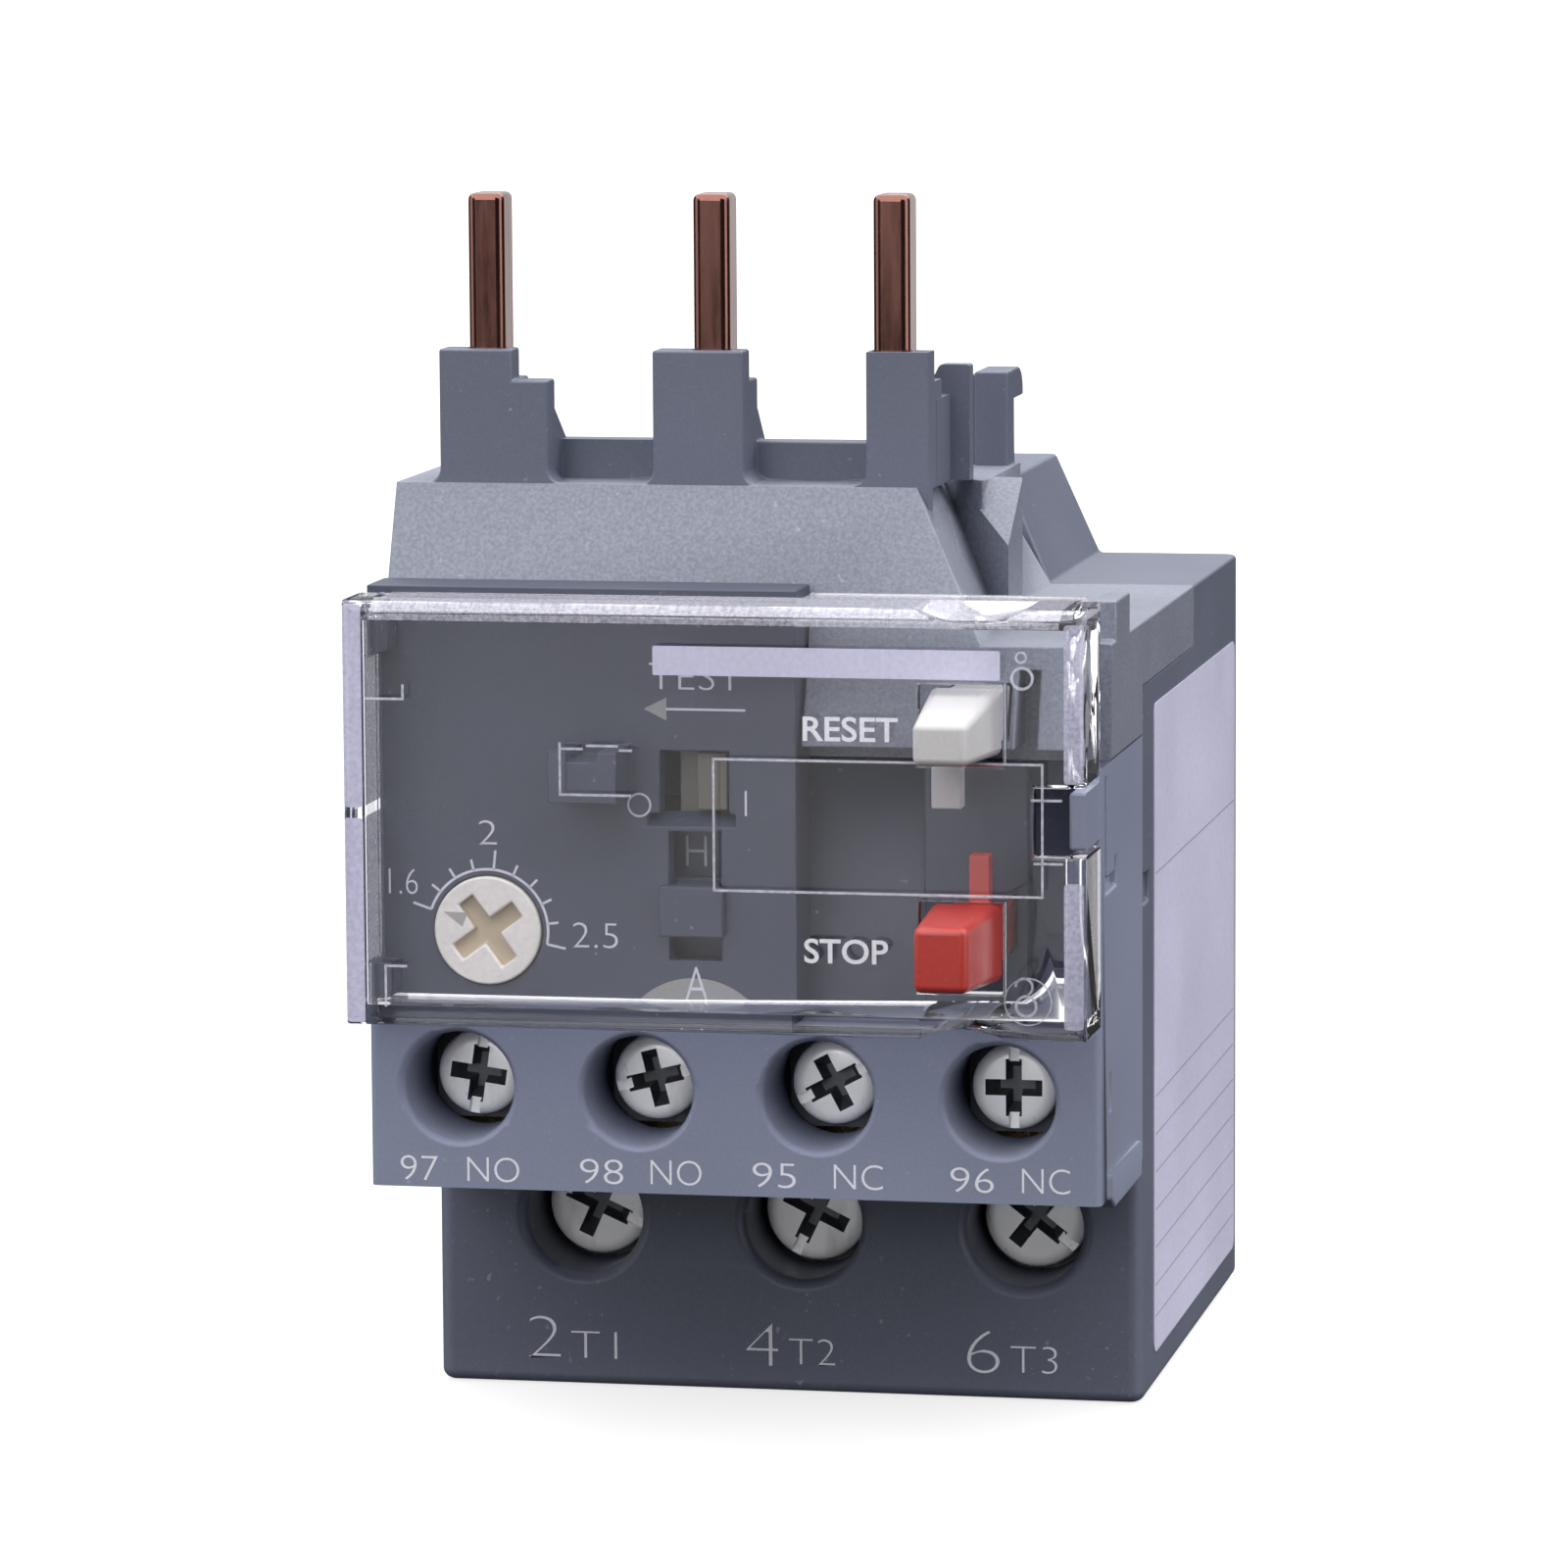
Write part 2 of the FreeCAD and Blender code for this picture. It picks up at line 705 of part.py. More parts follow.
def make_upper_housing():
    """Cap with the sloped front, pin towers, guard and hook, hollow over the pole straps."""
    body = solid("upper_housing")
    extrude(body, "YZ", "-half_width + cap_left_inset", "half_width", [
        ("panel_back", "block_top"), ("base_front", "block_top"), ("base_front", "base_height"),
        ("seam_back", "base_height"), ("seam_back", "shoulder + valley_rise"), ("ridge_back", "ridge"),
        ("ridge_front", "ridge"), ("panel_back", "slope_at_panel")])
    extrude(body, "YZ", "panel_right + panel_inset", "half_width - recess_wall", [
        ("panel_back", "slope_foot"), ("panel_back", "slope_at_panel"), ("slope_foot_y", "slope_foot")])
    side = body.newObject("PartDesign::SubtractiveLoft", "upper_housing_side")
    above = "ridge + wall"
    slope = "(slope_right_low - ridge_right) / ridge_rise * wall"
    side.Profile = draw(body, "XZ", "slope_foot_y", [[
        ("slope_right_low", "shoulder"), ("half_width", "shoulder"), ("half_width", above),
        ("ridge_right - " + slope, above)]])
    side.Sections = [draw(body, "XZ", "seam_back", [[
        ("roof_right_low", "shoulder"), ("half_width", "shoulder"), ("half_width", above),
        ("roof_right_top - ridge_rise + roof_rise - wall / 2", above)]])]
    foot = "ridge - wall"
    towers = list(zip(PIN_X, ("tower_one_left", "tower_two_left", "tower_three_left"),
                      ("tower_one_right", "tower_two_right", "tower_three_right")))
    step = "tower_top - tower_step_drop"
    lip = "tower_front + tower_lip"
    for x, left, right in towers:
        extrude(body, "YZ", x + " - " + left, x + " + " + right, [
            ("tower_front", foot), ("tower_back", foot), ("tower_back", step), (lip, step),
            (lip, "tower_top"), ("tower_front", "tower_top")])
    step_right = "tower_one_right + tower_step_width"
    extrude(body, "XY", foot, step, rectangle(
        PIN_X[0] + " + tower_one_right - wall", PIN_X[0] + " + " + step_right, "tower_front", lip))
    round_edges(body, "tower_foot_round", straight_edges(
        body, "Y", lambda spot: near(spot.z, "ridge") and spot.y < value("tower_back")
        and spot.x < value(PIN_X[2])))
    gussets = list(zip(PIN_X, (step_right, "tower_two_right", "tower_three_right"),
                       (lip, "tower_back", "tower_back")))
    reach = "tower_front + gusset_reach"
    for x, right, start in gussets:
        extrude(body, "YZ", x + " + %s - gusset_width" % right, x + " + " + right, [
            (start + " - wall", foot), (reach, foot), (reach, "ridge - wall / 2"),
            (start, "ridge + gusset_height"), (start, step), (start + " - wall", step)])
    extrude(body, "XY", foot, "ridge + rib_height", rectangle(
        PIN_X[0], PIN_X[2], "tower_back + rib_setback - rib_thickness", "tower_back + rib_setback"))
    guard_top = "ridge + guard_height"
    extrude(body, "XZ", "guard_front", "guard_front + guard_depth", [
        ("guard_left", foot), ("guard_right", foot), ("guard_right", guard_top),
        ("guard_left + guard_slant / 2", guard_top), ("guard_left", guard_top + " - guard_slant")])
    extrude(body, "XY", foot, "ridge + web_height", rectangle(
        "guard_left", "guard_left + web_width", "tower_back - wall", "guard_front + wall"))
    hook_foot = "shoulder + valley_rise - wall"
    extrude(body, "YZ", "guard_left", "hook_right + hook_seat_over", [
        ("guard_front", hook_foot), ("hook_back", hook_foot), ("hook_back", "hook_seat"),
        ("guard_front", "hook_seat")])
    extrude(body, "YZ", "guard_left", "hook_right + chute_over", [
        ("chute_front", hook_foot), ("chute_back", hook_foot), ("chute_back", "hook_seat"),
        ("chute_front", "hook_seat - chute_drop")])
    extrude(body, "YZ", "hook_left", "hook_right", [
        ("hook_front", hook_foot), ("hook_back", hook_foot), ("hook_back", "hook_top - hook_lip"),
        ("hook_back + hook_nose", "hook_top - hook_lip"), ("hook_back + hook_nose", "hook_top"),
        ("hook_front", "hook_top")])
    round_edges(body, "hook_round", straight_edges(
        body, "X", lambda spot: near(spot.z, "hook_top") and near(spot.y, "hook_back + hook_nose")))
    extrude(body, "XY", "shoulder - wall", "shoulder + corner_post_height", rectangle(
        "half_width - corner_post_width", "half_width",
        "base_front - corner_post_forward - corner_post_depth", "base_front - corner_post_forward"))
    inner_right = "roof_right_top - wall / 2"
    cut(body, "YZ", "-half_width + cap_left_inset + wall", inner_right, [
        ("panel_back + wall", "block_top"), ("base_front", "block_top"), ("base_front", "base_height"),
        ("seam_back - wall", "base_height"), ("seam_back - wall", "shoulder + valley_rise - 2 * wall"),
        ("ridge_back - wall", foot), ("ridge_front + wall", foot), ("panel_back + wall", "slope_inner")])
    cut(body, "YZ", inner_right, "half_width - wall", rectangle(
        "panel_back + wall", "spring_end", "block_top", "shoulder - wall"))
    strap_room = "strap_high + strap_rise / 2"
    cut(body, "YZ", inner_right, "pole_right + strap_width", rectangle(
        "base_front", "seam_back - wall", "base_height", strap_room))
    cut(body, "YZ", inner_right, "pole_right - strap_width", rectangle(
        "spring_end", "base_front", "base_height", strap_room))
    for x in PIN_X:
        cut(body, "XY", "strap_high", "tower_top", rectangle(
            x + " - pin_width / 2 - seat_gap", x + " + pin_width / 2 + seat_gap",
            "pin_y - pin_depth / 2 - seat_gap", "pin_y + pin_depth / 2 + seat_gap"))
    cut(body, "XZ", "slope_foot_y", "panel_back + wall", shaft_hole("reset_z"))
    slot = "button_x + button_width / 2 + reset_slot_gap"
    cut(body, "XZ", "slope_foot_y", "panel_back", rectangle(
        slot, slot + " + reset_slot_width", "slope_foot", "slope_foot + reset_slot_height"))


def make_front_housing():
    """Front block with four terminal wells below and the contact space above."""
    body = solid("front_housing")
    extrude(body, "YZ", "-half_width", "half_width", [
        ("block_face", "block_floor"), ("base_front", "block_floor"), ("base_front", "block_top"),
        ("panel_back", "block_top"), ("panel_back", "aux_top"), ("block_face", "aux_top")])
    extrude(body, "YZ", "half_width - recess_wall", "half_width", rectangle(
        "block_face", "panel_back", "aux_top - wall", "block_top"))
    round_edges(body, "corner_round / 2", straight_edges(
        body, "Z", lambda spot: near(spot.y, "block_face") and near(abs(spot.x), "half_width")))
    extrude(body, "XZ", "block_face - latch_reach", "block_face + wall", rectangle(
        "half_width - latch_thickness", "half_width - cover_gap", "latch_low", "latch_high"))
    extrude(body, "XZ", "panel_back - guide_proud", "panel_back + wall", rectangle(
        "button_x - guide_left", "button_x + guide_right", "aux_top - wall", "block_top"))
    pocket_front = "aux_washer_front - slide_gap"
    cut(body, "YZ", "-half_width + wall", "half_width - wall", rectangle(
        "panel_back + wall", "base_front - wall", "aux_pocket_top", "block_top"))
    cut(body, "XZ", "panel_back", "panel_back + wall", rectangle(
        "-half_width + 2 * wall", "panel_right - wall", "aux_pocket_top + wall / 2", "block_top"))
    for index in range(4):
        x = aux_x(index)
        cut(body, "YZ", x + " - aux_pocket_half", x + " + aux_pocket_half", rectangle(
            pocket_front, "base_front - wall", "aux_floor", "aux_pocket_top"))
        cut(body, "XY", "block_floor", "aux_floor", rectangle(
            x + " - aux_wire_width / 2", x + " + aux_wire_width / 2", "aux_wire_front", "aux_plate_front"))
    cut(body, "XZ", "panel_back - guide_proud", "panel_back + wall", shaft_hole("stop_z"))
    cut(body, "XZ", "base_front - wall", "base_front", lever_window())
    lip_front = "base_front - side_lip_back - side_lip_length"
    lip_back = "base_front - side_lip_back"
    lip_low = "block_floor - side_lip_height / 2"
    lip_high = "block_floor + side_lip_height"
    extrude(body, "YZ", "half_width - wall", "half_width + side_lip_proud", [
        (lip_front, "block_floor"), (lip_front + " + side_lip_height", lip_low), (lip_back, lip_low),
        (lip_back, lip_high), (lip_front, lip_high)])
    slot_front = "base_front - side_slot_forward"
    near_y = "block_face + wall"
    far_y = near_y + " + latch_channel_run"
    low = "latch_high - latch_channel_drop"
    cut(body, "YZ", "half_width - side_cut", "half_width", rectangle(
        slot_front, slot_front + " + side_slot_width", "block_floor + side_slot_rise",
        "block_floor + side_slot_rise + side_slot_height"), [
        (near_y, "latch_high"), (near_y, low), (far_y, low), (far_y, low + " + 2 * latch_channel"),
        (far_y + " - latch_channel", low + " + 2 * latch_channel"),
        (far_y + " - latch_channel", low + " + latch_channel"),
        (near_y + " + latch_channel", low + " + latch_channel"),
        (near_y + " + latch_channel", "latch_high")])
    hub = "rocker_hub_radius + seat_gap"
    for left, right in (("-rocker_left - slide_gap - lug_width", "-rocker_left - slide_gap"),
                        ("rocker_right + slide_gap", "rocker_right + slide_gap + lug_width")):
        extrude(body, "YZ", left, right, [
            ("rocker_y - 1.2 * rocker_hub_radius", "aux_pocket_top - wall"),
            ("rocker_y + 1.2 * rocker_hub_radius", "aux_pocket_top - wall"),
            ("rocker_y + rocker_hub_radius", "rocker_pivot + " + hub),
            ("rocker_y - rocker_hub_radius", "rocker_pivot + " + hub)])
        cut(body, "YZ", left, right, circle("rocker_y", "rocker_pivot", "rocker_pin_radius + seat_gap"))
    cut(body, "XZ", "block_face", pocket_front,
        *[circle(aux_x(index), "aux_height", "aux_well_radius") for index in range(4)])
    flare_mouths(body, "aux_well_flare", "aux_well_radius", "block_face")


def make_face_plate():
    """Control panel: a shallow box open at the back, with the openings of the controls."""
    body = solid("face_plate")
    left = "-half_width + panel_inset"
    extrude(body, "XZ", "block_face", "panel_back - seat_gap", rectangle(
        left, "panel_right", "aux_top + seat_gap", "panel_top"))
    post_top = "post_low + post_height"
    extrude(body, "XZ", "block_face - post_reach", "block_face + panel_wall / 2", [
        ("post_left", "post_low"), ("post_right", "post_low"), ("post_right", post_top),
        ("post_right - post_notch", post_top), ("post_right - post_notch", post_top + " - post_notch / 2"),
        ("post_left + post_notch", post_top + " - post_notch / 2"), ("post_left + post_notch", post_top),
        ("post_left", post_top)])
    cut(body, "XZ", "panel_front_back", "panel_back - seat_gap", rectangle(
        left + " + panel_wall", "panel_right - panel_wall",
        "aux_top + panel_wall", "panel_top - panel_wall"))
    root = "block_face + panel_wall / 2"
    ear = "hinge_ear_radius"
    side = ear + " * tan(22.5)"
    for low in ("cover_low + cover_wall + slide_gap",
                "cover_high - cover_wall - slide_gap - hinge_ear_height"):
        high = low + " + hinge_ear_height"
        extrude(body, "XY", low, high, [
            ("hinge_x + " + ear, root), (left, root), (left, "hinge_y - " + side),
            ("hinge_x - " + side, "hinge_y - " + ear), ("hinge_x + " + side, "hinge_y - " + ear),
            ("hinge_x + " + ear, "hinge_y - " + side)])
        cut(body, "XY", low, high, circle("hinge_x", "hinge_y", "hinge_pin_radius + seat_gap"))
    cut(body, "XZ", "block_face", "panel_front_back", circle(
        "dial_x", "dial_height", "dial_radius + seat_gap"))
    cut(body, "XZ", "block_face", "panel_front_back",
        rectangle("test_window_left", "test_window_right", "window_low", "window_high"),
        rectangle("mode_slot_left", "mode_slot_right", "mode_low", "mode_high"))
    cut(body, "YZ", "test_window_left - panel_wall / 2", "test_window_right + panel_wall / 4", [
        ("block_face", "window_low - panel_wall / 2"), ("panel_front_back", "window_low"),
        ("block_face", "window_low")])
    rail_back = "slider_back"
    rails = ("window_high + mode_plate_margin / 2 + slide_gap",
             "window_low - mode_plate_margin / 2 - slide_gap - rail_height / 2")
    for low in rails:
        extrude(body, "XZ", "panel_front_back - seat_gap", rail_back, rectangle(
            "test_window_left - mode_plate_margin", "test_window_right + mode_plate_margin",
            low, low + " + rail_height / 2"))
    for edge in ("mode_slot_left - mode_plate_margin / 2 - slide_gap - rail_height",
                 "mode_slot_right + mode_plate_margin / 2 + slide_gap"):
        extrude(body, "XZ", "panel_front_back - seat_gap", rail_back, rectangle(
            edge, edge + " + rail_height", "mode_low", "mode_high - mode_plate_margin"))


def make_plug_pin(index, name):
    """Copper plug pin bent back into the strap that carries the pole's bimetal."""
    body = solid(name)
    x = PIN_X[index]
    extrude(body, "XY", "strap_low", "pin_top", rectangle(
        x + " - pin_width / 2", x + " + pin_width / 2", "pin_y - pin_depth / 2", "pin_y + pin_depth / 2"))
    round_edges(body, "pin_edge_round", straight_edges(body, "Z", lambda spot: True))
    x_pole = load_x(index)
    extrude(body, "XY", "strap_low", "strap_high", [
        (x + " - pin_width / 2", "pin_y"), (x + " + pin_width / 2", "pin_y"),
        (x_pole + " + strap_width / 2", "bimetal_near"), (x_pole + " + strap_width / 2", "bimetal_far"),
        (x_pole + " - strap_width / 2", "bimetal_far"), (x_pole + " - strap_width / 2", "bimetal_near")])


def make_bimetal(index, name):
    """Strip hung from the strap, tapered at the free end that works the trip bars."""
    body = solid(name)
    x = load_x(index)
    extrude(body, "YZ", x + " - bimetal_thickness / 2", x + " + bimetal_thickness / 2", [
        ("bimetal_near", "strap_low"), ("bimetal_near", "bar_top + bar_thickness"),
        ("bimetal_mid - bimetal_width / 4", "bar_low - bar_space"),
        ("bimetal_mid + bimetal_width / 4", "bar_low - bar_space"),
        ("bimetal_far", "bar_top + bar_thickness"), ("bimetal_far", "strap_low")])


def make_heater_winding(index, name):
    """Insulating sleeve on the bimetal with the turns of heater ribbon standing proud of it."""
    body = solid(name)
    x = load_x(index)

    def sleeve(grow):
        return rectangle(x + " - winding_half" + " - " + grow, x + " + winding_half + " + grow,
                         "bimetal_near - winding_wall - " + grow, "bimetal_far + winding_wall + " + grow)
    extrude(body, "XY", "winding_low", "winding_high", sleeve("0"))
    turn = extrude(body, "XY", "winding_low + ribbon_height / 2", "winding_low + 1.5 * ribbon_height",
                   sleeve("ribbon_proud"))
    document.recompute()
    stack = body.newObject("PartDesign::LinearPattern", name + "_turns")
    stack.Originals = [turn]
    stack.Direction = (turn.Profile[0], ["N_Axis"])
    bind(stack, "Length", "winding_length - 2 * ribbon_height")
    bind(stack, "Occurrences", "winding_turns")
    body.Tip = stack
    cut(body, "XY", "winding_low", "winding_high", rectangle(
        x + " - bimetal_thickness / 2 - seat_gap", x + " + bimetal_thickness / 2 + seat_gap",
        "bimetal_near - seat_gap", "bimetal_far + seat_gap"))


def make_load_terminal(index, name):
    """Clamp plate with its threaded hole and the riser that meets the heater."""
    body = solid(name)
    x = load_x(index)
    top = "winding_low + ribbon_height"
    riser = x + " + load_plate_half - load_riser_width"
    extrude(body, "XZ", "load_plate_front", "load_plate_back", [
        (x + " - load_plate_half", "chamber_floor"), (x + " + load_plate_half", "chamber_floor"),
        (x + " + load_plate_half", top), (riser, top), (riser, "load_pocket_top"),
        (x + " - load_plate_half", "load_pocket_top")])
    cut(body, "XZ", "load_plate_front", "load_plate_back", circle(
        x, "load_height", "load_shank_radius + seat_gap"))


def make_screws(name, count, x_of, height, head, shank, head_face, head_back, shank_end):
    """Row of like clamp screws: a turned head and shank, repeated along X."""
    links = []
    for index in range(count):
        head_solid = document.addObject("Part::Cylinder", "%s_head_%d" % (name, index + 1))
        shank_solid = document.addObject("Part::Cylinder", "%s_shank_%d" % (name, index + 1))
        for cylinder, radius, start, end in ((head_solid, head, head_face, head_back),
                                             (shank_solid, shank, head_face, shank_end)):
            bind(cylinder, "Radius", radius)
            bind(cylinder, "Height", "(%s) - (%s)" % (end, start))
            cylinder.Placement.Rotation = FreeCAD.Rotation(Vector(1, 0, 0), -90)
            bind(cylinder, "Placement.Base.x", x_of(index))
            bind(cylinder, "Placement.Base.y", start)
            bind(cylinder, "Placement.Base.z", height)
        screw = document.addObject("Part::Fuse", "%s_screw_%d" % (name, index + 1))
        screw.Base = head_solid
        screw.Tool = shank_solid
        links.append(screw)
    gather(name, links)


def make_washers(name, count, x_of, height, half, hole, front, back):
    """Row of square clamp washers with round holes."""
    links = []
    for index in range(count):
        plate = document.addObject("Part::Box", "%s_plate_%d" % (name, index + 1))
        bore = document.addObject("Part::Cylinder", "%s_bore_%d" % (name, index + 1))
        x = x_of(index)
        thickness = "(%s) - (%s)" % (back, front)
        for prop, formula in (("Length", "2 * " + half), ("Height", "2 * " + half), ("Width", thickness)):
            bind(plate, prop, formula)
        for prop, formula in (("x", x + " - " + half), ("y", front), ("z", height + " - " + half)):
            bind(plate, "Placement.Base." + prop, formula)
        bind(bore, "Radius", hole)
        bind(bore, "Height", thickness)
        bore.Placement.Rotation = FreeCAD.Rotation(Vector(1, 0, 0), -90)
        for prop, formula in (("x", x), ("y", front), ("z", height)):
            bind(bore, "Placement.Base." + prop, formula)
        washer = document.addObject("Part::Cut", "%s_washer_%d" % (name, index + 1))
        washer.Base = plate
        washer.Tool = bore
        links.append(washer)
    gather(name, links)


def gather(name, links):
    group = document.addObject("Part::Compound", name)
    group.Label = name
    group.Links = links
    pieces.append(group)


def make_clamps():
    make_screws("load_screws", 3, load_x, "load_height", "load_head_radius", "load_shank_radius",
                "load_head_face", "load_washer_front", "load_plate_back + load_shank_end")
    make_washers("load_washers", 3, load_x, "load_height", "load_washer_half",
                 "load_shank_radius + seat_gap", "load_washer_front", "load_wire_front")
    make_screws("aux_screws", 4, aux_x, "aux_height", "aux_head_radius", "aux_shank_radius",
                "aux_head_face", "aux_washer_front", "aux_plate_back + aux_shank_end")
    make_washers("aux_washers", 4, aux_x, "aux_height", "aux_washer_half",
                 "aux_shank_radius + seat_gap", "aux_washer_front", "aux_wire_front")


def clamp_plate(body, index):
    """Upright clamp plate of an auxiliary terminal, standing on the pocket floor."""
    x = aux_x(index)
    extrude(body, "XZ", "aux_plate_front", "aux_plate_back", rectangle(
        x + " - aux_plate_half", x + " + aux_plate_half", "aux_floor", "blade_root"))
    cut(body, "XZ", "aux_plate_front", "aux_plate_back", circle(
        x, "aux_height", "aux_shank_radius + seat_gap"))


def riser_outline(index, contact, top):
    """Flat arm from over a clamp plate sideways to the contact and up to its top."""
    x = aux_x(index)
    near_side, far_side = ("-", "+") if value(contact) > value(x) else ("+", "-")
    return [(x + " %s blade_width / 2" % near_side, "blade_root"),
            (contact + " %s blade_width / 2" % far_side, "blade_root"),
            (contact + " %s blade_width / 2" % far_side, top),
            (contact + " %s blade_width / 2" % near_side, top),
            (contact + " %s blade_width / 2" % near_side, "blade_root + blade_root_height"),
            (x + " %s blade_width / 2" % near_side, "blade_root + blade_root_height")]


def make_aux_terminals():
    """Four terminal strips: two carry fixed contacts and two carry the spring blades."""
    top = "aux_pocket_top + riser_top"
    contact_face = "blade_back + contact_thickness + contact_gap"
    body = solid("terminal_97")
    clamp_plate(body, 0)
    extrude(body, "XZ", contact_face + " + contact_thickness", "aux_plate_back",
            riser_outline(0, "contact_x_left", top))
    extrude(body, "XZ", contact_face, contact_face + " + 2 * contact_thickness", circle(
        "contact_x_left", "contact_height", "contact_radius"))
    fixed_back = "blade_front - contact_thickness - seat_gap"
    fixed_front = fixed_back + " - riser_thickness"
    blade_seat = "blade_back + seat_gap"
    for name, index, foot_front in (("terminal_98", 1, blade_seat), ("terminal_95", 2, fixed_front),
                                    ("terminal_96", 3, blade_seat)):
        body = solid(name)
        clamp_plate(body, index)
        x = aux_x(index)
        extrude(body, "XZ", foot_front, "aux_plate_back", rectangle(
            x + " - blade_width / 2", x + " + blade_width / 2", "blade_root - wall", "blade_root"))
        if name == "terminal_95":
            extrude(body, "XZ", fixed_front, fixed_back, riser_outline(index, "contact_x_right", top))


def make_spring_blades():
    """Thin contact springs that stand on terminals 98 and 96."""
    middle = "blade_front + blade_thickness / 2"
    top = "aux_pocket_top + blade_top"
    for name, index, contact, start, end in (
            ("closing_blade", 1, "contact_x_left", middle, "blade_back + contact_thickness"),
            ("opening_blade", 3, "contact_x_right", "blade_front - contact_thickness", middle)):
        body = solid(name)
        extrude(body, "XZ", "blade_front", "blade_back", riser_outline(index, contact, top))
        extrude(body, "XZ", start, end, circle(contact, "contact_height", "contact_radius"))


def make_rod(name, plane, start, end, u, v, radius):
    body = solid(name)
    extrude(body, plane, start, end, circle(u, v, radius))


def make_trip_rocker():
    """Rocking bail on a cross pin: two fingers work the blades and one arm meets the test slide."""
    body = solid("trip_rocker")
    extrude(body, "YZ", "-rocker_left", "rocker_right", circle(
        "rocker_y", "rocker_pivot", "rocker_hub_radius"))
    arm_front = "rocker_y - rocker_arm_thickness / 2"
    arm_back = "rocker_y + rocker_arm_thickness / 2"
    top = "aux_pocket_top + rocker_arm_top"
    for x in ("contact_x_left", "contact_x_right"):
        extrude(body, "YZ", x + " - rocker_arm_width / 2", x + " + rocker_arm_width / 2", [
            (arm_front, "rocker_pivot"), (arm_back, "rocker_pivot"),
            (arm_back, "aux_pocket_top + riser_top + finger_clear"),
            ("blade_front - slide_gap", "aux_pocket_top + riser_top + finger_clear"),
            ("blade_front - slide_gap", top), (arm_front, top)])
    extrude(body, "XZ", arm_front, arm_back, rectangle(
        "contact_x_left", "contact_x_right", top + " - rocker_finger", top))
    cut(body, "YZ", "-rocker_left", "rocker_right", circle(
        "rocker_y", "rocker_pivot", "rocker_pin_radius + seat_gap"))


def make_trip_bar(name, low, slot_near, slot_far):
    """Slotted bar across the three poles; a bimetal's tip stands in each slot."""
    body = solid(name)
    extrude(body, "XY", low, low + " + bar_thickness", rectangle(
        "bar_end_left", "bar_end_right", "bar_front", "bar_back"))
    for index in range(3):
        x = load_x(index)
        cut(body, "XY", low, low + " + bar_thickness", rectangle(
            x + " - bimetal_thickness / 2 - " + slot_near, x + " + bimetal_thickness / 2 + " + slot_far,
            "bimetal_near - slide_gap", "bimetal_far + slide_gap"))


def make_compensating_lever():
    """Compensating bimetal on a hub: its foot meets the trip bar and its nose holds the rocker."""
    body = solid("compensating_lever")
    tip = "base_front - lever_nose_reach"
    extrude(body, "XZ", "hub_front", "hub_back", circle("lever_x", "lever_pivot", "lever_hub_radius"))
    extrude(body, "YZ", "lever_x - lever_thickness / 2", "lever_x + lever_thickness / 2", [
        ("hub_front", "lever_pivot"), ("bar_front", "bar_top"), ("bar_front", "bar_low"),
        ("bar_back", "bar_low"), ("bar_back", "bar_top"), ("hub_back", "lever_nose_low"),
        ("hub_back", "lever_nose_high"), (tip, "lever_nose_high"), (tip, "lever_nose_low"),
        ("hub_front", "lever_nose_low")])
    cut(body, "XZ", "hub_front", "hub_back", circle(
        "lever_x", "lever_pivot", "lever_pin_radius + seat_gap"))


def make_adjusting_dial():
    """Turned dial with a cross slot, a flange behind the panel and an eccentric cam."""
    body = solid("adjusting_dial")
    front = "block_face - dial_proud"
    flange_front = "panel_front_back + slide_gap"
    flange_back = flange_front + " + dial_flange"
    cam_front = "block_face + cam_setback"
    extrude(body, "XZ", front, flange_back, circle("dial_x", "dial_height", "dial_radius"))
    extrude(body, "XZ", flange_front, flange_back, circle("dial_x", "dial_height", "dial_flange_radius"))
    extrude(body, "XZ", "panel_front_back", cam_front, circle("dial_x", "dial_height", "dial_shaft_radius"))
    extrude(body, "XZ", cam_front + " - seat_gap", cam_front + " + cam_thickness", circle(
        "dial_x", "dial_height - cam_offset", "cam_radius"))
    for turn in ("dial_slot_turn", "dial_slot_turn + 90"):
        corners = []
        for along, across in (("-", "-"), ("+", "-"), ("+", "+"), ("-", "+")):
            u = "dial_x %s dial_slot_length / 2 * cos(%s) %s dial_slot_width / 2 * sin(%s)"
            v = "dial_height %s dial_slot_length / 2 * sin(%s) %s dial_slot_width / 2 * cos(%s)"
            opposite = "-" if across == "+" else "+"
            corners.append((u % (along, turn, opposite, turn), v % (along, turn, across, turn)))
        cut(body, "XZ", front, front + " + dial_slot_depth", corners)


def make_test_slider():
    """Trip flag behind the test window, with a grip in the window and a tail to the rocker."""
    body = solid("test_slider")
    margin = "mode_plate_margin / 2"
    extrude(body, "XZ", "slider_front", "slider_back", rectangle(
        "test_window_left + test_travel / 2 - slide_gap", "test_window_right + test_travel",
        "window_low - " + margin, "window_high + " + margin))
    extrude(body, "XZ", "block_face + panel_wall / 3", "slider_back", rectangle(
        "test_window_left + test_travel + slide_gap", "test_window_right - slide_gap",
        "window_low + slide_gap", "window_high - slide_gap"))
    tail_end = "rocker_y - rocker_arm_thickness / 2 - test_tail_clear"
    extrude(body, "XZ", "slider_back - seat_gap", tail_end, rectangle(
        "test_window_right - test_tail_width", "test_window_right",
        "window_low", "window_low + test_tail_width"))


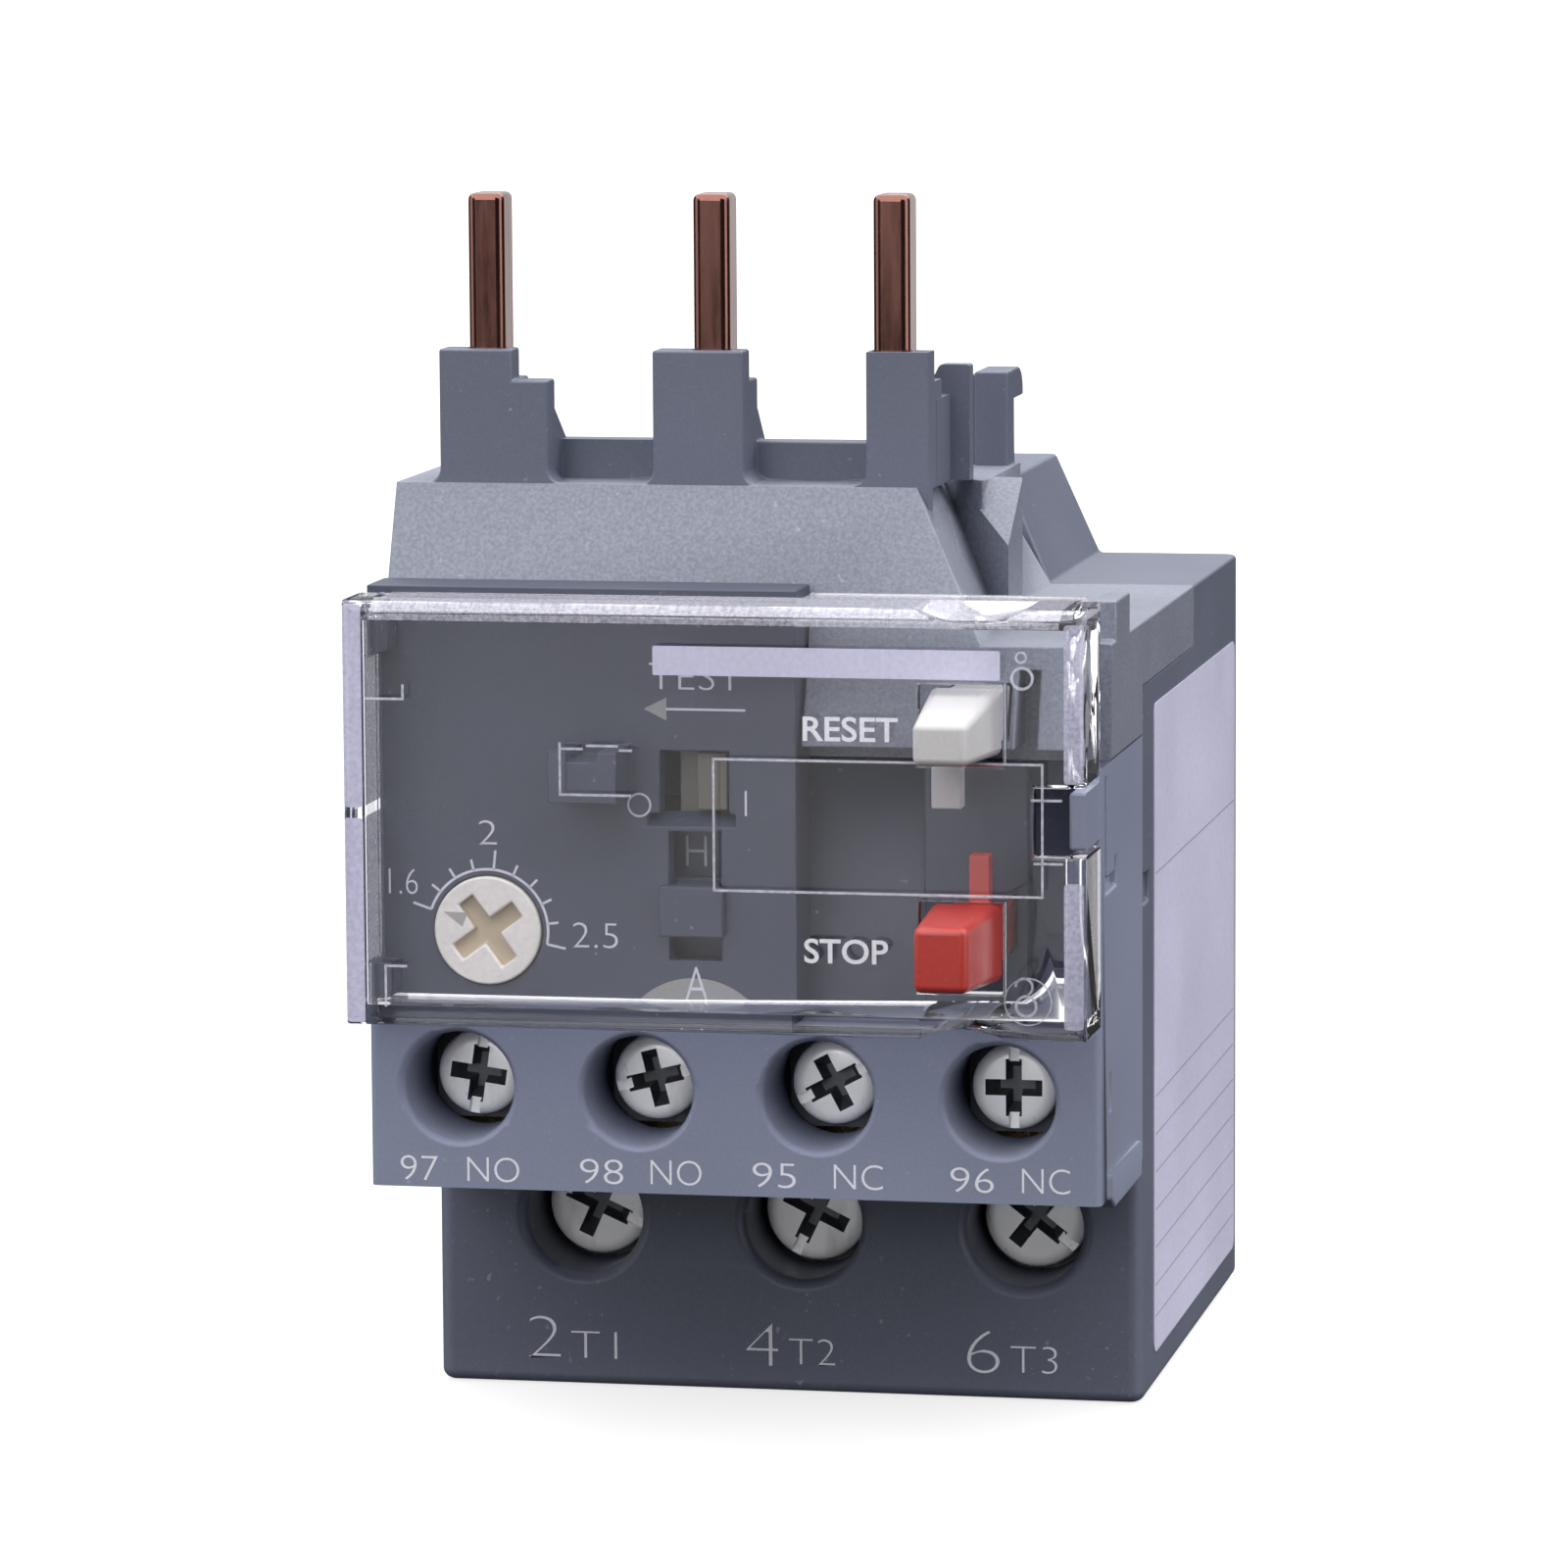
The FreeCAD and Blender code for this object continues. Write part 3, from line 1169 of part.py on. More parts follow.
def make_mode_selector():
    """Manual and automatic reset selector: a knob proud of the panel on a slide behind it."""
    body = solid("mode_selector")
    margin = "mode_plate_margin / 2"
    extrude(body, "XZ", "slider_front", "slider_back", rectangle(
        "mode_slot_left - " + margin, "mode_slot_right + " + margin,
        "knob_low - " + margin, "knob_high + slide_gap"))
    extrude(body, "XZ", "block_face - slide_gap", "slider_front + seat_gap", rectangle(
        "mode_slot_left + slide_gap", "mode_slot_right - slide_gap", "knob_low", "knob_high"))
    extrude(body, "XZ", "block_face - slide_gap - mode_knob_proud", "block_face - slide_gap", rectangle(
        "mode_slot_left - mode_knob_overlap", "mode_slot_right + mode_knob_overlap / 2",
        "knob_low", "knob_high"))


def make_button(name, height_centre, height, tip_height, tip_drop, leg):
    """Push button: tapered cap on a square shaft, with a collar inside, a spring seat and a leg."""
    body = solid(name)
    extrude(body, "XZ", "button_root_y", "button_back", rectangle(
        "button_x - shaft_half", "button_x + shaft_half",
        height_centre + " - shaft_rise", height_centre + " + shaft_rise"))
    tip_centre = height_centre + " - " + tip_drop
    extrude(body, "YZ", "button_x - button_width / 2", "button_x + button_width / 2", [
        ("button_root_y", "%s - %s / 2" % (height_centre, height)),
        ("button_root_y", "%s + %s / 2" % (height_centre, height)),
        ("button_tip_y", "%s + %s / 2" % (tip_centre, tip_height)),
        ("button_tip_y", "%s - %s / 2" % (tip_centre, tip_height))])
    for sign in ("-", "+"):
        flank = "button_x %s button_width / 2" % sign
        tip_flank = "button_x + button_tip_shift %s button_tip_width / 2" % sign
        cut(body, "XY", height_centre + " - " + height, height_centre + " + " + height, [
            (flank, "button_root_y"), (flank, "button_tip_y"), (tip_flank, "button_tip_y")])
    document.recompute()
    cap_edges = ["Edge%d" % number for number, edge in enumerate(body.Tip.Shape.Edges, start=1)
                 if edge.CenterOfMass.y < value("button_root_y") - value("button_round")]
    round_edges(body, "button_round", cap_edges)
    collar_front = "panel_back + wall + slide_gap"
    extrude(body, "XZ", collar_front, collar_front + " + button_collar_length", rectangle(
        "button_x - shaft_half - button_collar", "button_x + shaft_half + button_collar",
        height_centre + " - shaft_rise - button_collar", height_centre + " + shaft_rise + button_collar"))
    extrude(body, "XZ", "leg_back - leg_thickness", "leg_back", leg)
    extrude(body, "XZ", "button_back - seat_gap", "button_back + wall / 2", circle(
        "button_x", height_centre, "spring_radius - spring_wire - slide_gap"))


def make_button_spring(name, height):
    """Coil return spring between the button's tail and the rear wall."""
    coil = document.addObject("Part::Helix", name + "_path")
    wire = document.addObject("Part::RegularPolygon", name + "_wire")
    length = "spring_end - button_back - 2 * spring_wire - 2 * seat_gap"
    bind(coil, "Radius", "spring_radius")
    bind(coil, "Pitch", "(%s) / spring_turns" % length)
    bind(coil, "Height", length)
    wire.Polygon = 6
    bind(wire, "Circumradius", "spring_wire")
    coil.Placement.Rotation = FreeCAD.Rotation(Vector(1, 0, 0), -90)
    for axis, formula in (("x", "button_x"), ("y", "button_back + spring_wire + seat_gap"), ("z", height)):
        bind(coil, "Placement.Base." + axis, formula)
        bind(wire, "Placement.Base." + axis, formula + (" + spring_radius" if axis == "x" else ""))
    spring = document.addObject("Part::Sweep", name)
    spring.Label = name
    spring.Sections = [wire]
    spring.Spine = (coil, ["Edge1"])
    spring.Solid = True
    spring.Frenet = True
    pieces.append(spring)


def make_sealing_cover():
    """Clear hinged cover: a shallow box with hinge pins, button openings, latch notch and scoops."""
    body = solid("sealing_cover")
    left = "-half_width"
    right = "half_width"
    rear = "block_face - cover_gap"
    extrude(body, "XZ", "cover_front", rear, rectangle(left, right, "cover_low", "cover_high"))
    round_edges(body, "cover_round", straight_edges(
        body, "Z", lambda spot: near(spot.y, "cover_front"))
        + straight_edges(body, "X", lambda spot: near(spot.y, "cover_front")))
    cut(body, "XZ", "cover_front + cover_wall", rear, rectangle(
        left + " + cover_wall", right + " - cover_wall",
        "cover_low + cover_wall", "cover_high - cover_wall"))
    extrude(body, "XZ", rear + " - cover_wall", "panel_back - cover_top_gap", rectangle(
        "panel_right + 2 * panel_inset", right + " - cover_wall", "cover_high - cover_wall", "cover_high"))
    for x, width, depth, sign, edge in (("scoop_x", "scoop_width", "scoop_depth", "+", "cover_high"),
                                        ("button_x", "arch_width", "arch_depth", "-", "cover_low")):
        radius = "(%s * %s / 4 + %s * %s) / (2 * %s)" % (width, width, depth, depth, depth)
        centre = "%s %s (%s - %s)" % (edge, sign, radius, depth)
        cut(body, "XZ", "cover_front", rear, circle(x, centre, radius))
    for low, high in (("cover_low + cover_wall - seat_gap", "cover_low + cover_wall + hinge_pin_length"),
                      ("cover_high - cover_wall - hinge_pin_length", "cover_high - cover_wall + seat_gap")):
        extrude(body, "XY", low, high, circle("hinge_x", "hinge_y", "hinge_pin_radius"))
    ear_room = "hinge_ear_height + 2 * slide_gap"
    for low, high in (("cover_low + cover_wall", "cover_low + cover_wall + " + ear_room),
                      ("cover_high - cover_wall - (%s)" % ear_room, "cover_high - cover_wall")):
        cut(body, "YZ", left, left + " + cover_wall", rectangle(
            "hinge_y - hinge_ear_radius - hinge_wall_clear", rear, low, high))
    cut(body, "YZ", left, left + " + cover_wall", rectangle(
        "hinge_y + hinge_wall_clear", rear, "cover_low", "cover_high"))
    half = "button_width / 2 + cover_opening_margin"
    for centre, height in (("reset_z", "reset_height"), ("stop_z", "stop_height")):
        rise = "(%s / 2 + cover_opening_margin)" % height
        cut(body, "XZ", "cover_front", "cover_front + cover_wall", rectangle(
            "button_x - (%s)" % half, "button_x + " + half, centre + " - " + rise, centre + " + " + rise))
    cut(body, "XZ", "cover_front", rear, rectangle(
        right + " - latch_notch_width", right,
        "latch_low - latch_notch_margin", "latch_high + latch_notch_margin"))


def check_and_export():
    """Stop on any failed object, empty cut or bad solid, then write each piece."""
    document.recompute()
    for feature in document.Objects:
        if "Invalid" in feature.State or "Error" in feature.State:
            raise RuntimeError("%s failed: %s" % (feature.Name, feature.State))
    for before, after in cuts:
        if not after.Shape.Volume < before.Shape.Volume - 1e-6:
            raise RuntimeError("%s cuts nothing" % after.Name)
    os.makedirs("parts", exist_ok=True)
    for piece in pieces:
        if piece.Shape.isNull() or not piece.Shape.isValid():
            raise RuntimeError("%s has no valid shape" % piece.Label)
        piece.Shape.exportStep("parts/%s.step" % piece.Label)


POLES = ("left", "middle", "right")
make_base_housing()
make_rear_cover()
make_upper_housing()
make_front_housing()
make_face_plate()
for pole, side in enumerate(POLES):
    make_plug_pin(pole, "plug_pin_" + side)
    make_bimetal(pole, "bimetal_" + side)
    make_heater_winding(pole, "heater_winding_" + side)
    make_load_terminal(pole, "load_terminal_" + side)
make_clamps()
make_aux_terminals()
make_spring_blades()
make_trip_rocker()
make_rod("rocker_pin", "YZ", "-rocker_left - slide_gap - lug_width", "rocker_right + slide_gap + lug_width",
         "rocker_y", "rocker_pivot", "rocker_pin_radius")
make_trip_bar("main_trip_bar", "bar_low", "slide_gap", "bar_travel + slide_gap")
make_trip_bar("differential_trip_bar", "bar_second", "bar_travel / 2", "bar_travel + slide_gap")
make_compensating_lever()
make_rod("lever_pin", "XZ", "base_front", "hub_back", "lever_x", "lever_pivot", "lever_pin_radius")
make_adjusting_dial()
make_test_slider()
make_mode_selector()
make_button("reset_button", "reset_z", "reset_height", "reset_tip_height", "reset_tip_drop", rectangle(
    "button_x + reset_leg_shift - reset_leg_width / 2", "button_x + reset_leg_shift + reset_leg_width / 2",
    "reset_z - reset_height / 2 - reset_leg_length", "reset_z"))
make_button("stop_button", "stop_z", "stop_height", "stop_tip_height", "0", rectangle(
    "button_x + stop_leg_shift - stop_leg_width / 2", "button_x + stop_leg_shift + stop_leg_width / 2",
    "stop_z", "stop_z + stop_height / 2 + stop_leg_length"))
make_button_spring("reset_spring", "reset_z")
make_button_spring("stop_spring", "stop_z")
make_sealing_cover()
check_and_export()
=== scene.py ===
"""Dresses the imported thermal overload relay: soft moulded edges, screws, prints, finishes and a studio."""
import json
import math

import bmesh
import bpy
from bpy.props import FloatProperty, FloatVectorProperty, IntProperty, PointerProperty
from mathutils import Matrix, Vector
from mathutils.geometry import area_tri


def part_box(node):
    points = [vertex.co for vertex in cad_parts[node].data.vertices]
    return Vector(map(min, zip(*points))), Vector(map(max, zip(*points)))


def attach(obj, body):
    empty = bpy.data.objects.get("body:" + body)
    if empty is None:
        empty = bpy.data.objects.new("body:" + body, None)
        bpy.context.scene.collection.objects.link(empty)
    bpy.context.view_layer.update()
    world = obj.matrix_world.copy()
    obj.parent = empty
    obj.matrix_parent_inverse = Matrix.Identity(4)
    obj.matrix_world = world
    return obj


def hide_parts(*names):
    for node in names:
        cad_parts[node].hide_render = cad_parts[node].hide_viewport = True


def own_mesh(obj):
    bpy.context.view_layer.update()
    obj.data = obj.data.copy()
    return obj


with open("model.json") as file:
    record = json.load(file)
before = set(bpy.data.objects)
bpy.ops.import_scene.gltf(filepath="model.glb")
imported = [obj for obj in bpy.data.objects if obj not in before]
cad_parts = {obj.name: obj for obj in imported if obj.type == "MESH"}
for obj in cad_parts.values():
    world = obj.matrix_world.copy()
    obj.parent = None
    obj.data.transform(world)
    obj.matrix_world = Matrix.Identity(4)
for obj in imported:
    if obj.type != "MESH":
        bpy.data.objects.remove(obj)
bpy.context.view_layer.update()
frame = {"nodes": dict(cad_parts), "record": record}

bl_info = {
    "name": "Thermal overload relay dressing",
    "version": (1, 0, 0),
    "blender": (4, 5, 0),
    "location": "3D View > Sidebar > Relay",
    "description": "Soft moulded edges, screws, prints, finishes and a studio for the relay",
    "category": "Object",
}

MM = 0.001
MERGE_GAP = 1e-6
FOLD_AREA = 0.15e-6
FOLD_ROUNDS = 6
SHORT_EDGE = 0.35
EDGE_ROOM = 2.3
WELD_GAP = 0.2 * MERGE_GAP
FACE_FRONT = Matrix.Rotation(math.radians(90.0), 4, "X")

# Planes and sizes of the part, in millimetres and degrees.
PANEL_FRONT = -38.1
BLOCK_FRONT = -38.1
BASE_FRONT = -21.3
COVER_FRONT = -44.0
COVER_FOOT = 26.4
SIDE_RIGHT = 22.5
RIDGE = 58.0
SLOT_FLOOR = -35.05
SCALE_START = -12.0
SCALE_SWEEP = 173.0
TIP_ROUND = 0.42

# Node, material slot, finish and width of the softened edges of each shell.
SHELLS = (
    ("base_housing", "housing", "body_plastic", 0.22),
    ("rear_cover", "housing", "body_plastic", 0.18),
    ("upper_housing", "housing", "grained_lit_plastic", 0.16),
    ("front_housing", "housing", "lit_block_plastic", 0.18),
    ("face_plate", "panel", "panel_plastic", 0.11),
)

# Place across and turn of each screw; node, spots, height, head radius and shank radius of each row.
AUX_SCREW_SPOTS = ((-16.95, 82.0), (-5.85, 14.0), (5.25, 28.0), (16.35, 90.0))
LOAD_SCREW_SPOTS = ((-13.1, 156.0), (0.95, 64.0), (15.0, 142.0))
SCREW_ROWS = (
    ("aux_screws", AUX_SCREW_SPOTS, 21.8, 2.65, 1.75),
    ("load_screws", LOAD_SCREW_SPOTS, 10.8, 3.3, 2.2),
)

# Words with their left, right and foot; digit, phase and left of each load mark.
TERMINAL_MARKS = (
    ("97", -20.63, -18.3, 16.0), ("NO", -16.46, -13.22, 16.02),
    ("98", -9.44, -6.76, 16.1), ("NO", -5.06, -1.91, 16.16),
    ("95", 1.24, 3.89, 16.18), ("NC", 6.23, 9.23, 16.22),
    ("96", 13.36, 15.99, 16.25), ("NC", 17.71, 20.63, 16.3),
)
LOAD_MARKS = (("2", "T1", -16.7), ("4", "T2", -2.7), ("6", "T3", 11.4))
DIAL_CENTRE = (-14.9, 31.55)
SCALE_RADIUS = 3.72
DUST = (0.6, 0.6, 0.62, 1.0)

# How much the strokes of the lettering are thickened or thinned.
BOLD = 0.014
THIN = -0.018


# ---------------------------------------------------------------- settings

class RelayShellSettings(bpy.types.PropertyGroup):
    """Edges and prints of the moulded shells."""

    edge_steps: IntProperty(
        name="Edge steps", description="Steps round each softened edge", default=2, min=1, max=4)
    sharp_angle: FloatProperty(
        name="Sharp angle", description="Edges that turn more than this are softened",
        default=math.radians(28.0), subtype="ANGLE")
    print_lift: FloatProperty(
        name="Print lift", description="How far a print stands off its face",
        default=0.012 * MM, unit="LENGTH", precision=6)
    label_lift: FloatProperty(
        name="Label lift", description="Thickness of the paper label",
        default=0.06 * MM, unit="LENGTH", precision=6)


class RelayColourSettings(bpy.types.PropertyGroup):
    """Colours of the plastics, prints and metals."""

    body: FloatVectorProperty(
        name="Body", description="Blue-grey of the housings", size=4, subtype="COLOR",
        default=(0.112, 0.124, 0.172, 1.0))
    panel: FloatVectorProperty(
        name="Panel", description="Blue-grey of the face plate", size=4, subtype="COLOR",
        default=(0.05, 0.057, 0.088, 1.0))
    ink: FloatVectorProperty(
        name="Ink", description="Lilac-white of the prints", size=4, subtype="COLOR",
        default=(0.74, 0.74, 0.8, 1.0))
    paper: FloatVectorProperty(
        name="Paper", description="Lilac-white of the label", size=4, subtype="COLOR",
        default=(0.55, 0.54, 0.7, 1.0))
    reset: FloatVectorProperty(
        name="Reset", description="Warm grey of the upper button", size=4, subtype="COLOR",
        default=(0.5, 0.488, 0.495, 1.0))
    stop: FloatVectorProperty(
        name="Stop", description="Red of the lower button", size=4, subtype="COLOR",
        default=(0.42, 0.04, 0.032, 1.0))
    dial: FloatVectorProperty(
        name="Dial", description="Cream of the setting dial", size=4, subtype="COLOR",
        default=(0.92, 0.87, 0.82, 1.0))
    nickel: FloatVectorProperty(
        name="Nickel", description="Plated steel of the screws", size=4, subtype="COLOR",
        default=(0.95, 0.95, 0.97, 1.0))
    copper: FloatVectorProperty(
        name="Copper", description="Copper of the plug pins", size=4, subtype="COLOR",
        default=(0.19, 0.09, 0.075, 1.0))


class RelayScrewSettings(bpy.types.PropertyGroup):
    """Shape of the terminal screws."""

    round_steps: IntProperty(
        name="Round steps", description="Steps round a screw head", default=48, min=12)
    crown: FloatProperty(
        name="Crown", description="Radius of the rounded rim of a head",
        default=0.8 * MM, unit="LENGTH", precision=6)
    cross_width: FloatProperty(
        name="Cross width", description="Width of an arm of the cross recess",
        default=1.1 * MM, unit="LENGTH", precision=6)
    slot_width: FloatProperty(
        name="Slot width", description="Width of the straight slot",
        default=0.62 * MM, unit="LENGTH", precision=6)


class RelayStageSettings(bpy.types.PropertyGroup):
    """Camera, lights and floor."""

    lens: FloatProperty(
        name="Lens", description="Focal length on a 36 mm sensor", default=173.3)
    yaw: FloatProperty(
        name="Yaw", description="Turn of the camera to the left",
        default=math.radians(11.317), subtype="ANGLE")
    pitch: FloatProperty(
        name="Pitch", description="How far the camera looks down",
        default=math.radians(7.428), subtype="ANGLE")
    roll: FloatProperty(
        name="Roll", description="Turn about the line of sight",
        default=math.radians(-0.362), subtype="ANGLE")
    eye: FloatVectorProperty(
        name="Eye", description="Place of the camera", size=3, subtype="TRANSLATION",
        default=(91.27 * MM, -477.56 * MM, 99.19 * MM))
    floor_half: FloatProperty(
        name="Floor half", description="Half the side of the floor", default=8.0, unit="LENGTH")


# ---------------------------------------------------------------- node groups

def new_group(name, inputs, outputs):
    """Start a node group from (kind, name, default) inputs and (kind, name) outputs."""
    group = bpy.data.node_groups.new(name, "ShaderNodeTree")
    for kind, label, value in inputs:
        socket = group.interface.new_socket(label, in_out="INPUT", socket_type=kind)
        if value is not None:
            socket.default_value = value
    for kind, label in outputs:
        group.interface.new_socket(label, in_out="OUTPUT", socket_type=kind)
    entry = group.nodes.new("NodeGroupInput")
    leave = group.nodes.new("NodeGroupOutput")
    return group, entry, leave


def give(group, leave, **values):
    """Link sockets to a group's outputs by name."""
    for label, value in values.items():
        group.links.new(value, leave.inputs[label])


def feed(tree, socket, value):
    """Give a socket a value, or link another socket to it."""
    if isinstance(value, bpy.types.NodeSocket):
        tree.links.new(value, socket)
    else:
        socket.default_value = value


def noise_in(tree, place, scale, detail, roughness=0.5):
    """A noise texture that reads a place socket; scale is a number or a socket."""
    noise = tree.nodes.new("ShaderNodeTexNoise")
    for label, value in (("Vector", place), ("Scale", scale), ("Detail", detail), ("Roughness", roughness)):
        feed(tree, noise.inputs[label], value)
    return noise.outputs["Fac"]


def spread(tree, value, low, high, to_low, to_high):
    """Map a value from one range to another, clamped; the far ends may be sockets."""
    node = tree.nodes.new("ShaderNodeMapRange")
    node.clamp = True
    labels = ("Value", "From Min", "From Max", "To Min", "To Max")
    for label, end in zip(labels, (value, low, high, to_low, to_high)):
        feed(tree, node.inputs[label], end)
    return node.outputs["Result"]


def reckon(tree, operation, first, second):
    """A math node on two values, each a number or a socket."""
    node = tree.nodes.new("ShaderNodeMath")
    node.operation = operation
    for socket, value in zip(node.inputs, (first, second)):
        feed(tree, socket, value)
    return node.outputs["Value"]


def blend_colour(tree, mode, share, first, second):
    """A colour mix of two colours, each a four-number colour or a socket."""
    node = tree.nodes.new("ShaderNodeMix")
    node.data_type = "RGBA"
    node.blend_type = mode
    for label, value in (("Factor_Float", share), ("A_Color", first), ("B_Color", second)):
        feed(tree, next(s for s in node.inputs if s.identifier == label), value)
    return next(s for s in node.outputs if s.identifier == "Result_Color")


def make_moulded_group():
    """Moulded plastic: fine spark-eroded grain, soft mottling and a varied gloss."""
    group, entry, leave = new_group(
        "moulded_grain",
        (("NodeSocketVector", "Place", None), ("NodeSocketColor", "Colour", (0.2, 0.2, 0.2, 1.0)),
         ("NodeSocketFloat", "Grain Scale", 4200.0), ("NodeSocketFloat", "Contrast", 0.1),
         ("NodeSocketFloat", "Rough Low", 0.4), ("NodeSocketFloat", "Rough High", 0.6)),
        (("NodeSocketColor", "Colour"), ("NodeSocketFloat", "Roughness"), ("NodeSocketFloat", "Height")))
    place = entry.outputs["Place"]
    fine = noise_in(group, place, entry.outputs["Grain Scale"], 2.0)
    broad = noise_in(group, place, 70.0, 3.0)
    contrast = entry.outputs["Contrast"]
    lowest = reckon(group, "SUBTRACT", 1.0, contrast)
    highest = reckon(group, "ADD", 1.0, contrast)
    speckle = spread(group, fine, 0.32, 0.68, lowest, highest)
    mottle = spread(group, broad, 0.3, 0.7, 0.95, 1.05)
    tone = reckon(group, "MULTIPLY", speckle, mottle)
    shade = group.nodes.new("ShaderNodeCombineColor")
    for channel in shade.inputs:
        group.links.new(tone, channel)
    coloured = blend_colour(group, "MULTIPLY", 1.0, entry.outputs["Colour"], shade.outputs["Color"])
    gloss = spread(group, broad, 0.3, 0.7, entry.outputs["Rough Low"], entry.outputs["Rough High"])
    give(group, leave, Colour=coloured, Roughness=gloss, Height=fine)


def make_brushed_group():
    """Worked metal: drawn streaks, dull patches and small stains."""
    group, entry, leave = new_group(
        "worked_metal",
        (("NodeSocketVector", "Place", None), ("NodeSocketColor", "Colour", (0.7, 0.7, 0.7, 1.0)),
         ("NodeSocketColor", "Stain", (0.2, 0.15, 0.1, 1.0)), ("NodeSocketFloat", "Streak Scale", 900.0),
         ("NodeSocketFloat", "Rough Low", 0.2), ("NodeSocketFloat", "Rough High", 0.4)),
        (("NodeSocketColor", "Colour"), ("NodeSocketFloat", "Roughness"), ("NodeSocketFloat", "Height")))
    place = entry.outputs["Place"]
    streak = noise_in(group, place, entry.outputs["Streak Scale"], 4.0, 0.6)
    patch = noise_in(group, place, 330.0, 4.0, 0.6)
    stained = spread(group, patch, 0.52, 0.75, 0.0, 0.55)
    tinted = blend_colour(group, "MIX", stained, entry.outputs["Colour"], entry.outputs["Stain"])
    rubbed = spread(group, streak, 0.3, 0.7, entry.outputs["Rough Low"], entry.outputs["Rough High"])
    give(group, leave, Colour=tinted, Roughness=rubbed, Height=streak)


def make_dust_group():
    """A sparse mask of dust and pale rub marks."""
    group, entry, leave = new_group(
        "settled_dust",
        (("NodeSocketVector", "Place", None), ("NodeSocketFloat", "Amount", 0.3)),
        (("NodeSocketFloat", "Mask"),))
    place = entry.outputs["Place"]
    specks = noise_in(group, place, 2100.0, 1.0)
    cloud = noise_in(group, place, 160.0, 2.0)
    sparse = spread(group, specks, 0.7, 0.78, 0.0, 1.0)
    where = spread(group, cloud, 0.42, 0.62, 0.0, 1.0)
    both = reckon(group, "MULTIPLY", sparse, where)
    mask = reckon(group, "MULTIPLY", both, entry.outputs["Amount"])
    give(group, leave, Mask=mask)


# ---------------------------------------------------------------- materials

def start_material(name):
    """A new material's node tree, with its principled shader and its object coordinates."""
    if name in bpy.data.materials:
        raise RuntimeError("a finish is already called " + name)
    material = bpy.data.materials.new(name)
    material.use_nodes = True
    tree = material.node_tree
    tree.nodes.clear()
    surface = tree.nodes.new("ShaderNodeOutputMaterial")
    shader = tree.nodes.new("ShaderNodeBsdfPrincipled")
    tree.links.new(shader.outputs["BSDF"], surface.inputs["Surface"])
    place = tree.nodes.new("ShaderNodeTexCoord").outputs["Object"]
    return tree, shader, place


def use_group(tree, name, place, **values):
    """Put a shared group in a material, with its inputs set by name."""
    node = tree.nodes.new("ShaderNodeGroup")
    node.node_tree = bpy.data.node_groups[name]
    tree.links.new(place, node.inputs["Place"])
    for label, value in values.items():
        node.inputs[label.replace("_", " ")].default_value = value
    return node


def add_bump(tree, shader, height, strength, distance):
    """Let a height raise the surface of a shader a little."""
    bump = tree.nodes.new("ShaderNodeBump")
    bump.inputs["Strength"].default_value = strength
    bump.inputs["Distance"].default_value = distance
    tree.links.new(height, bump.inputs["Height"])
    tree.links.new(bump.outputs["Normal"], shader.inputs["Normal"])


def wear(tree, shader, skin):
    """Let a group's colour and roughness feed a shader."""
    tree.links.new(skin.outputs["Colour"], shader.inputs["Base Color"])
    tree.links.new(skin.outputs["Roughness"], shader.inputs["Roughness"])


def moulded_skin(tree, shader, place, colour, grain, contrast, rough):
    """Put moulded grain on a shader; gives back the group's node."""
    skin = use_group(
        tree, "moulded_grain", place, Colour=colour, Grain_Scale=grain, Contrast=contrast,
        Rough_Low=rough[0], Rough_High=rough[1])
    wear(tree, shader, skin)
    return skin


def plastic(name, colour, grain, contrast, rough, bump, dust=0.25):
    """Moulded plastic with grain, mottling and a little settled dust."""
    tree, shader, place = start_material(name)
    skin = moulded_skin(tree, shader, place, colour, grain, contrast, rough)
    specks = use_group(tree, "settled_dust", place, Amount=dust)
    dusty = blend_colour(tree, "MIX", specks.outputs["Mask"], skin.outputs["Colour"], DUST)
    tree.links.new(dusty, shader.inputs["Base Color"])
    add_bump(tree, shader, skin.outputs["Height"], bump, 0.05 * MM)


def metal(name, colour, stain, streak, stretch, rough, bump, share=1.0):
    """Worked metal whose streaks run along one axis; share is how metallic it is."""
    tree, shader, place = start_material(name)
    turn = tree.nodes.new("ShaderNodeMapping")
    turn.inputs["Scale"].default_value = stretch
    tree.links.new(place, turn.inputs["Vector"])
    skin = use_group(
        tree, "worked_metal", turn.outputs["Vector"], Colour=colour, Stain=stain,
        Streak_Scale=streak, Rough_Low=rough[0], Rough_High=rough[1])
    shader.inputs["Metallic"].default_value = share
    wear(tree, shader, skin)
    add_bump(tree, shader, skin.outputs["Height"], bump, 0.03 * MM)


def ink(name, colour, grain):
    """Printed ink or paper with a fine tooth and thin spots."""
    tree, shader, place = start_material(name)
    skin = moulded_skin(tree, shader, place, colour, grain, 0.06, (0.5, 0.65))
    add_bump(tree, shader, skin.outputs["Height"], 0.1, 0.02 * MM)


def dial_plastic(name, colour, recess_shade, front):
    """Cream plastic whose recess behind a front plane is painted a darker tan as shade."""
    tree, shader, place = start_material(name)
    skin = moulded_skin(tree, shader, place, colour, 3000.0, 0.05, (0.38, 0.5))
    split = tree.nodes.new("ShaderNodeSeparateXYZ")
    tree.links.new(place, split.inputs["Vector"])
    # Painted shade: the colour turns to the darker tan from 0.08 mm to 0.5 mm behind the front.
    deep = spread(tree, split.outputs["Y"], front + 0.08 * MM, front + 0.5 * MM, 0.0, 1.0)
    recess_shaded = blend_colour(tree, "MIX", deep, skin.outputs["Colour"], recess_shade)
    tree.links.new(recess_shaded, shader.inputs["Base Color"])
    shader.inputs["Subsurface Weight"].default_value = 0.1
    shader.inputs["Subsurface Radius"].default_value = (0.001, 0.0008, 0.0005)
    add_bump(tree, shader, skin.outputs["Height"], 0.12, 0.03 * MM)


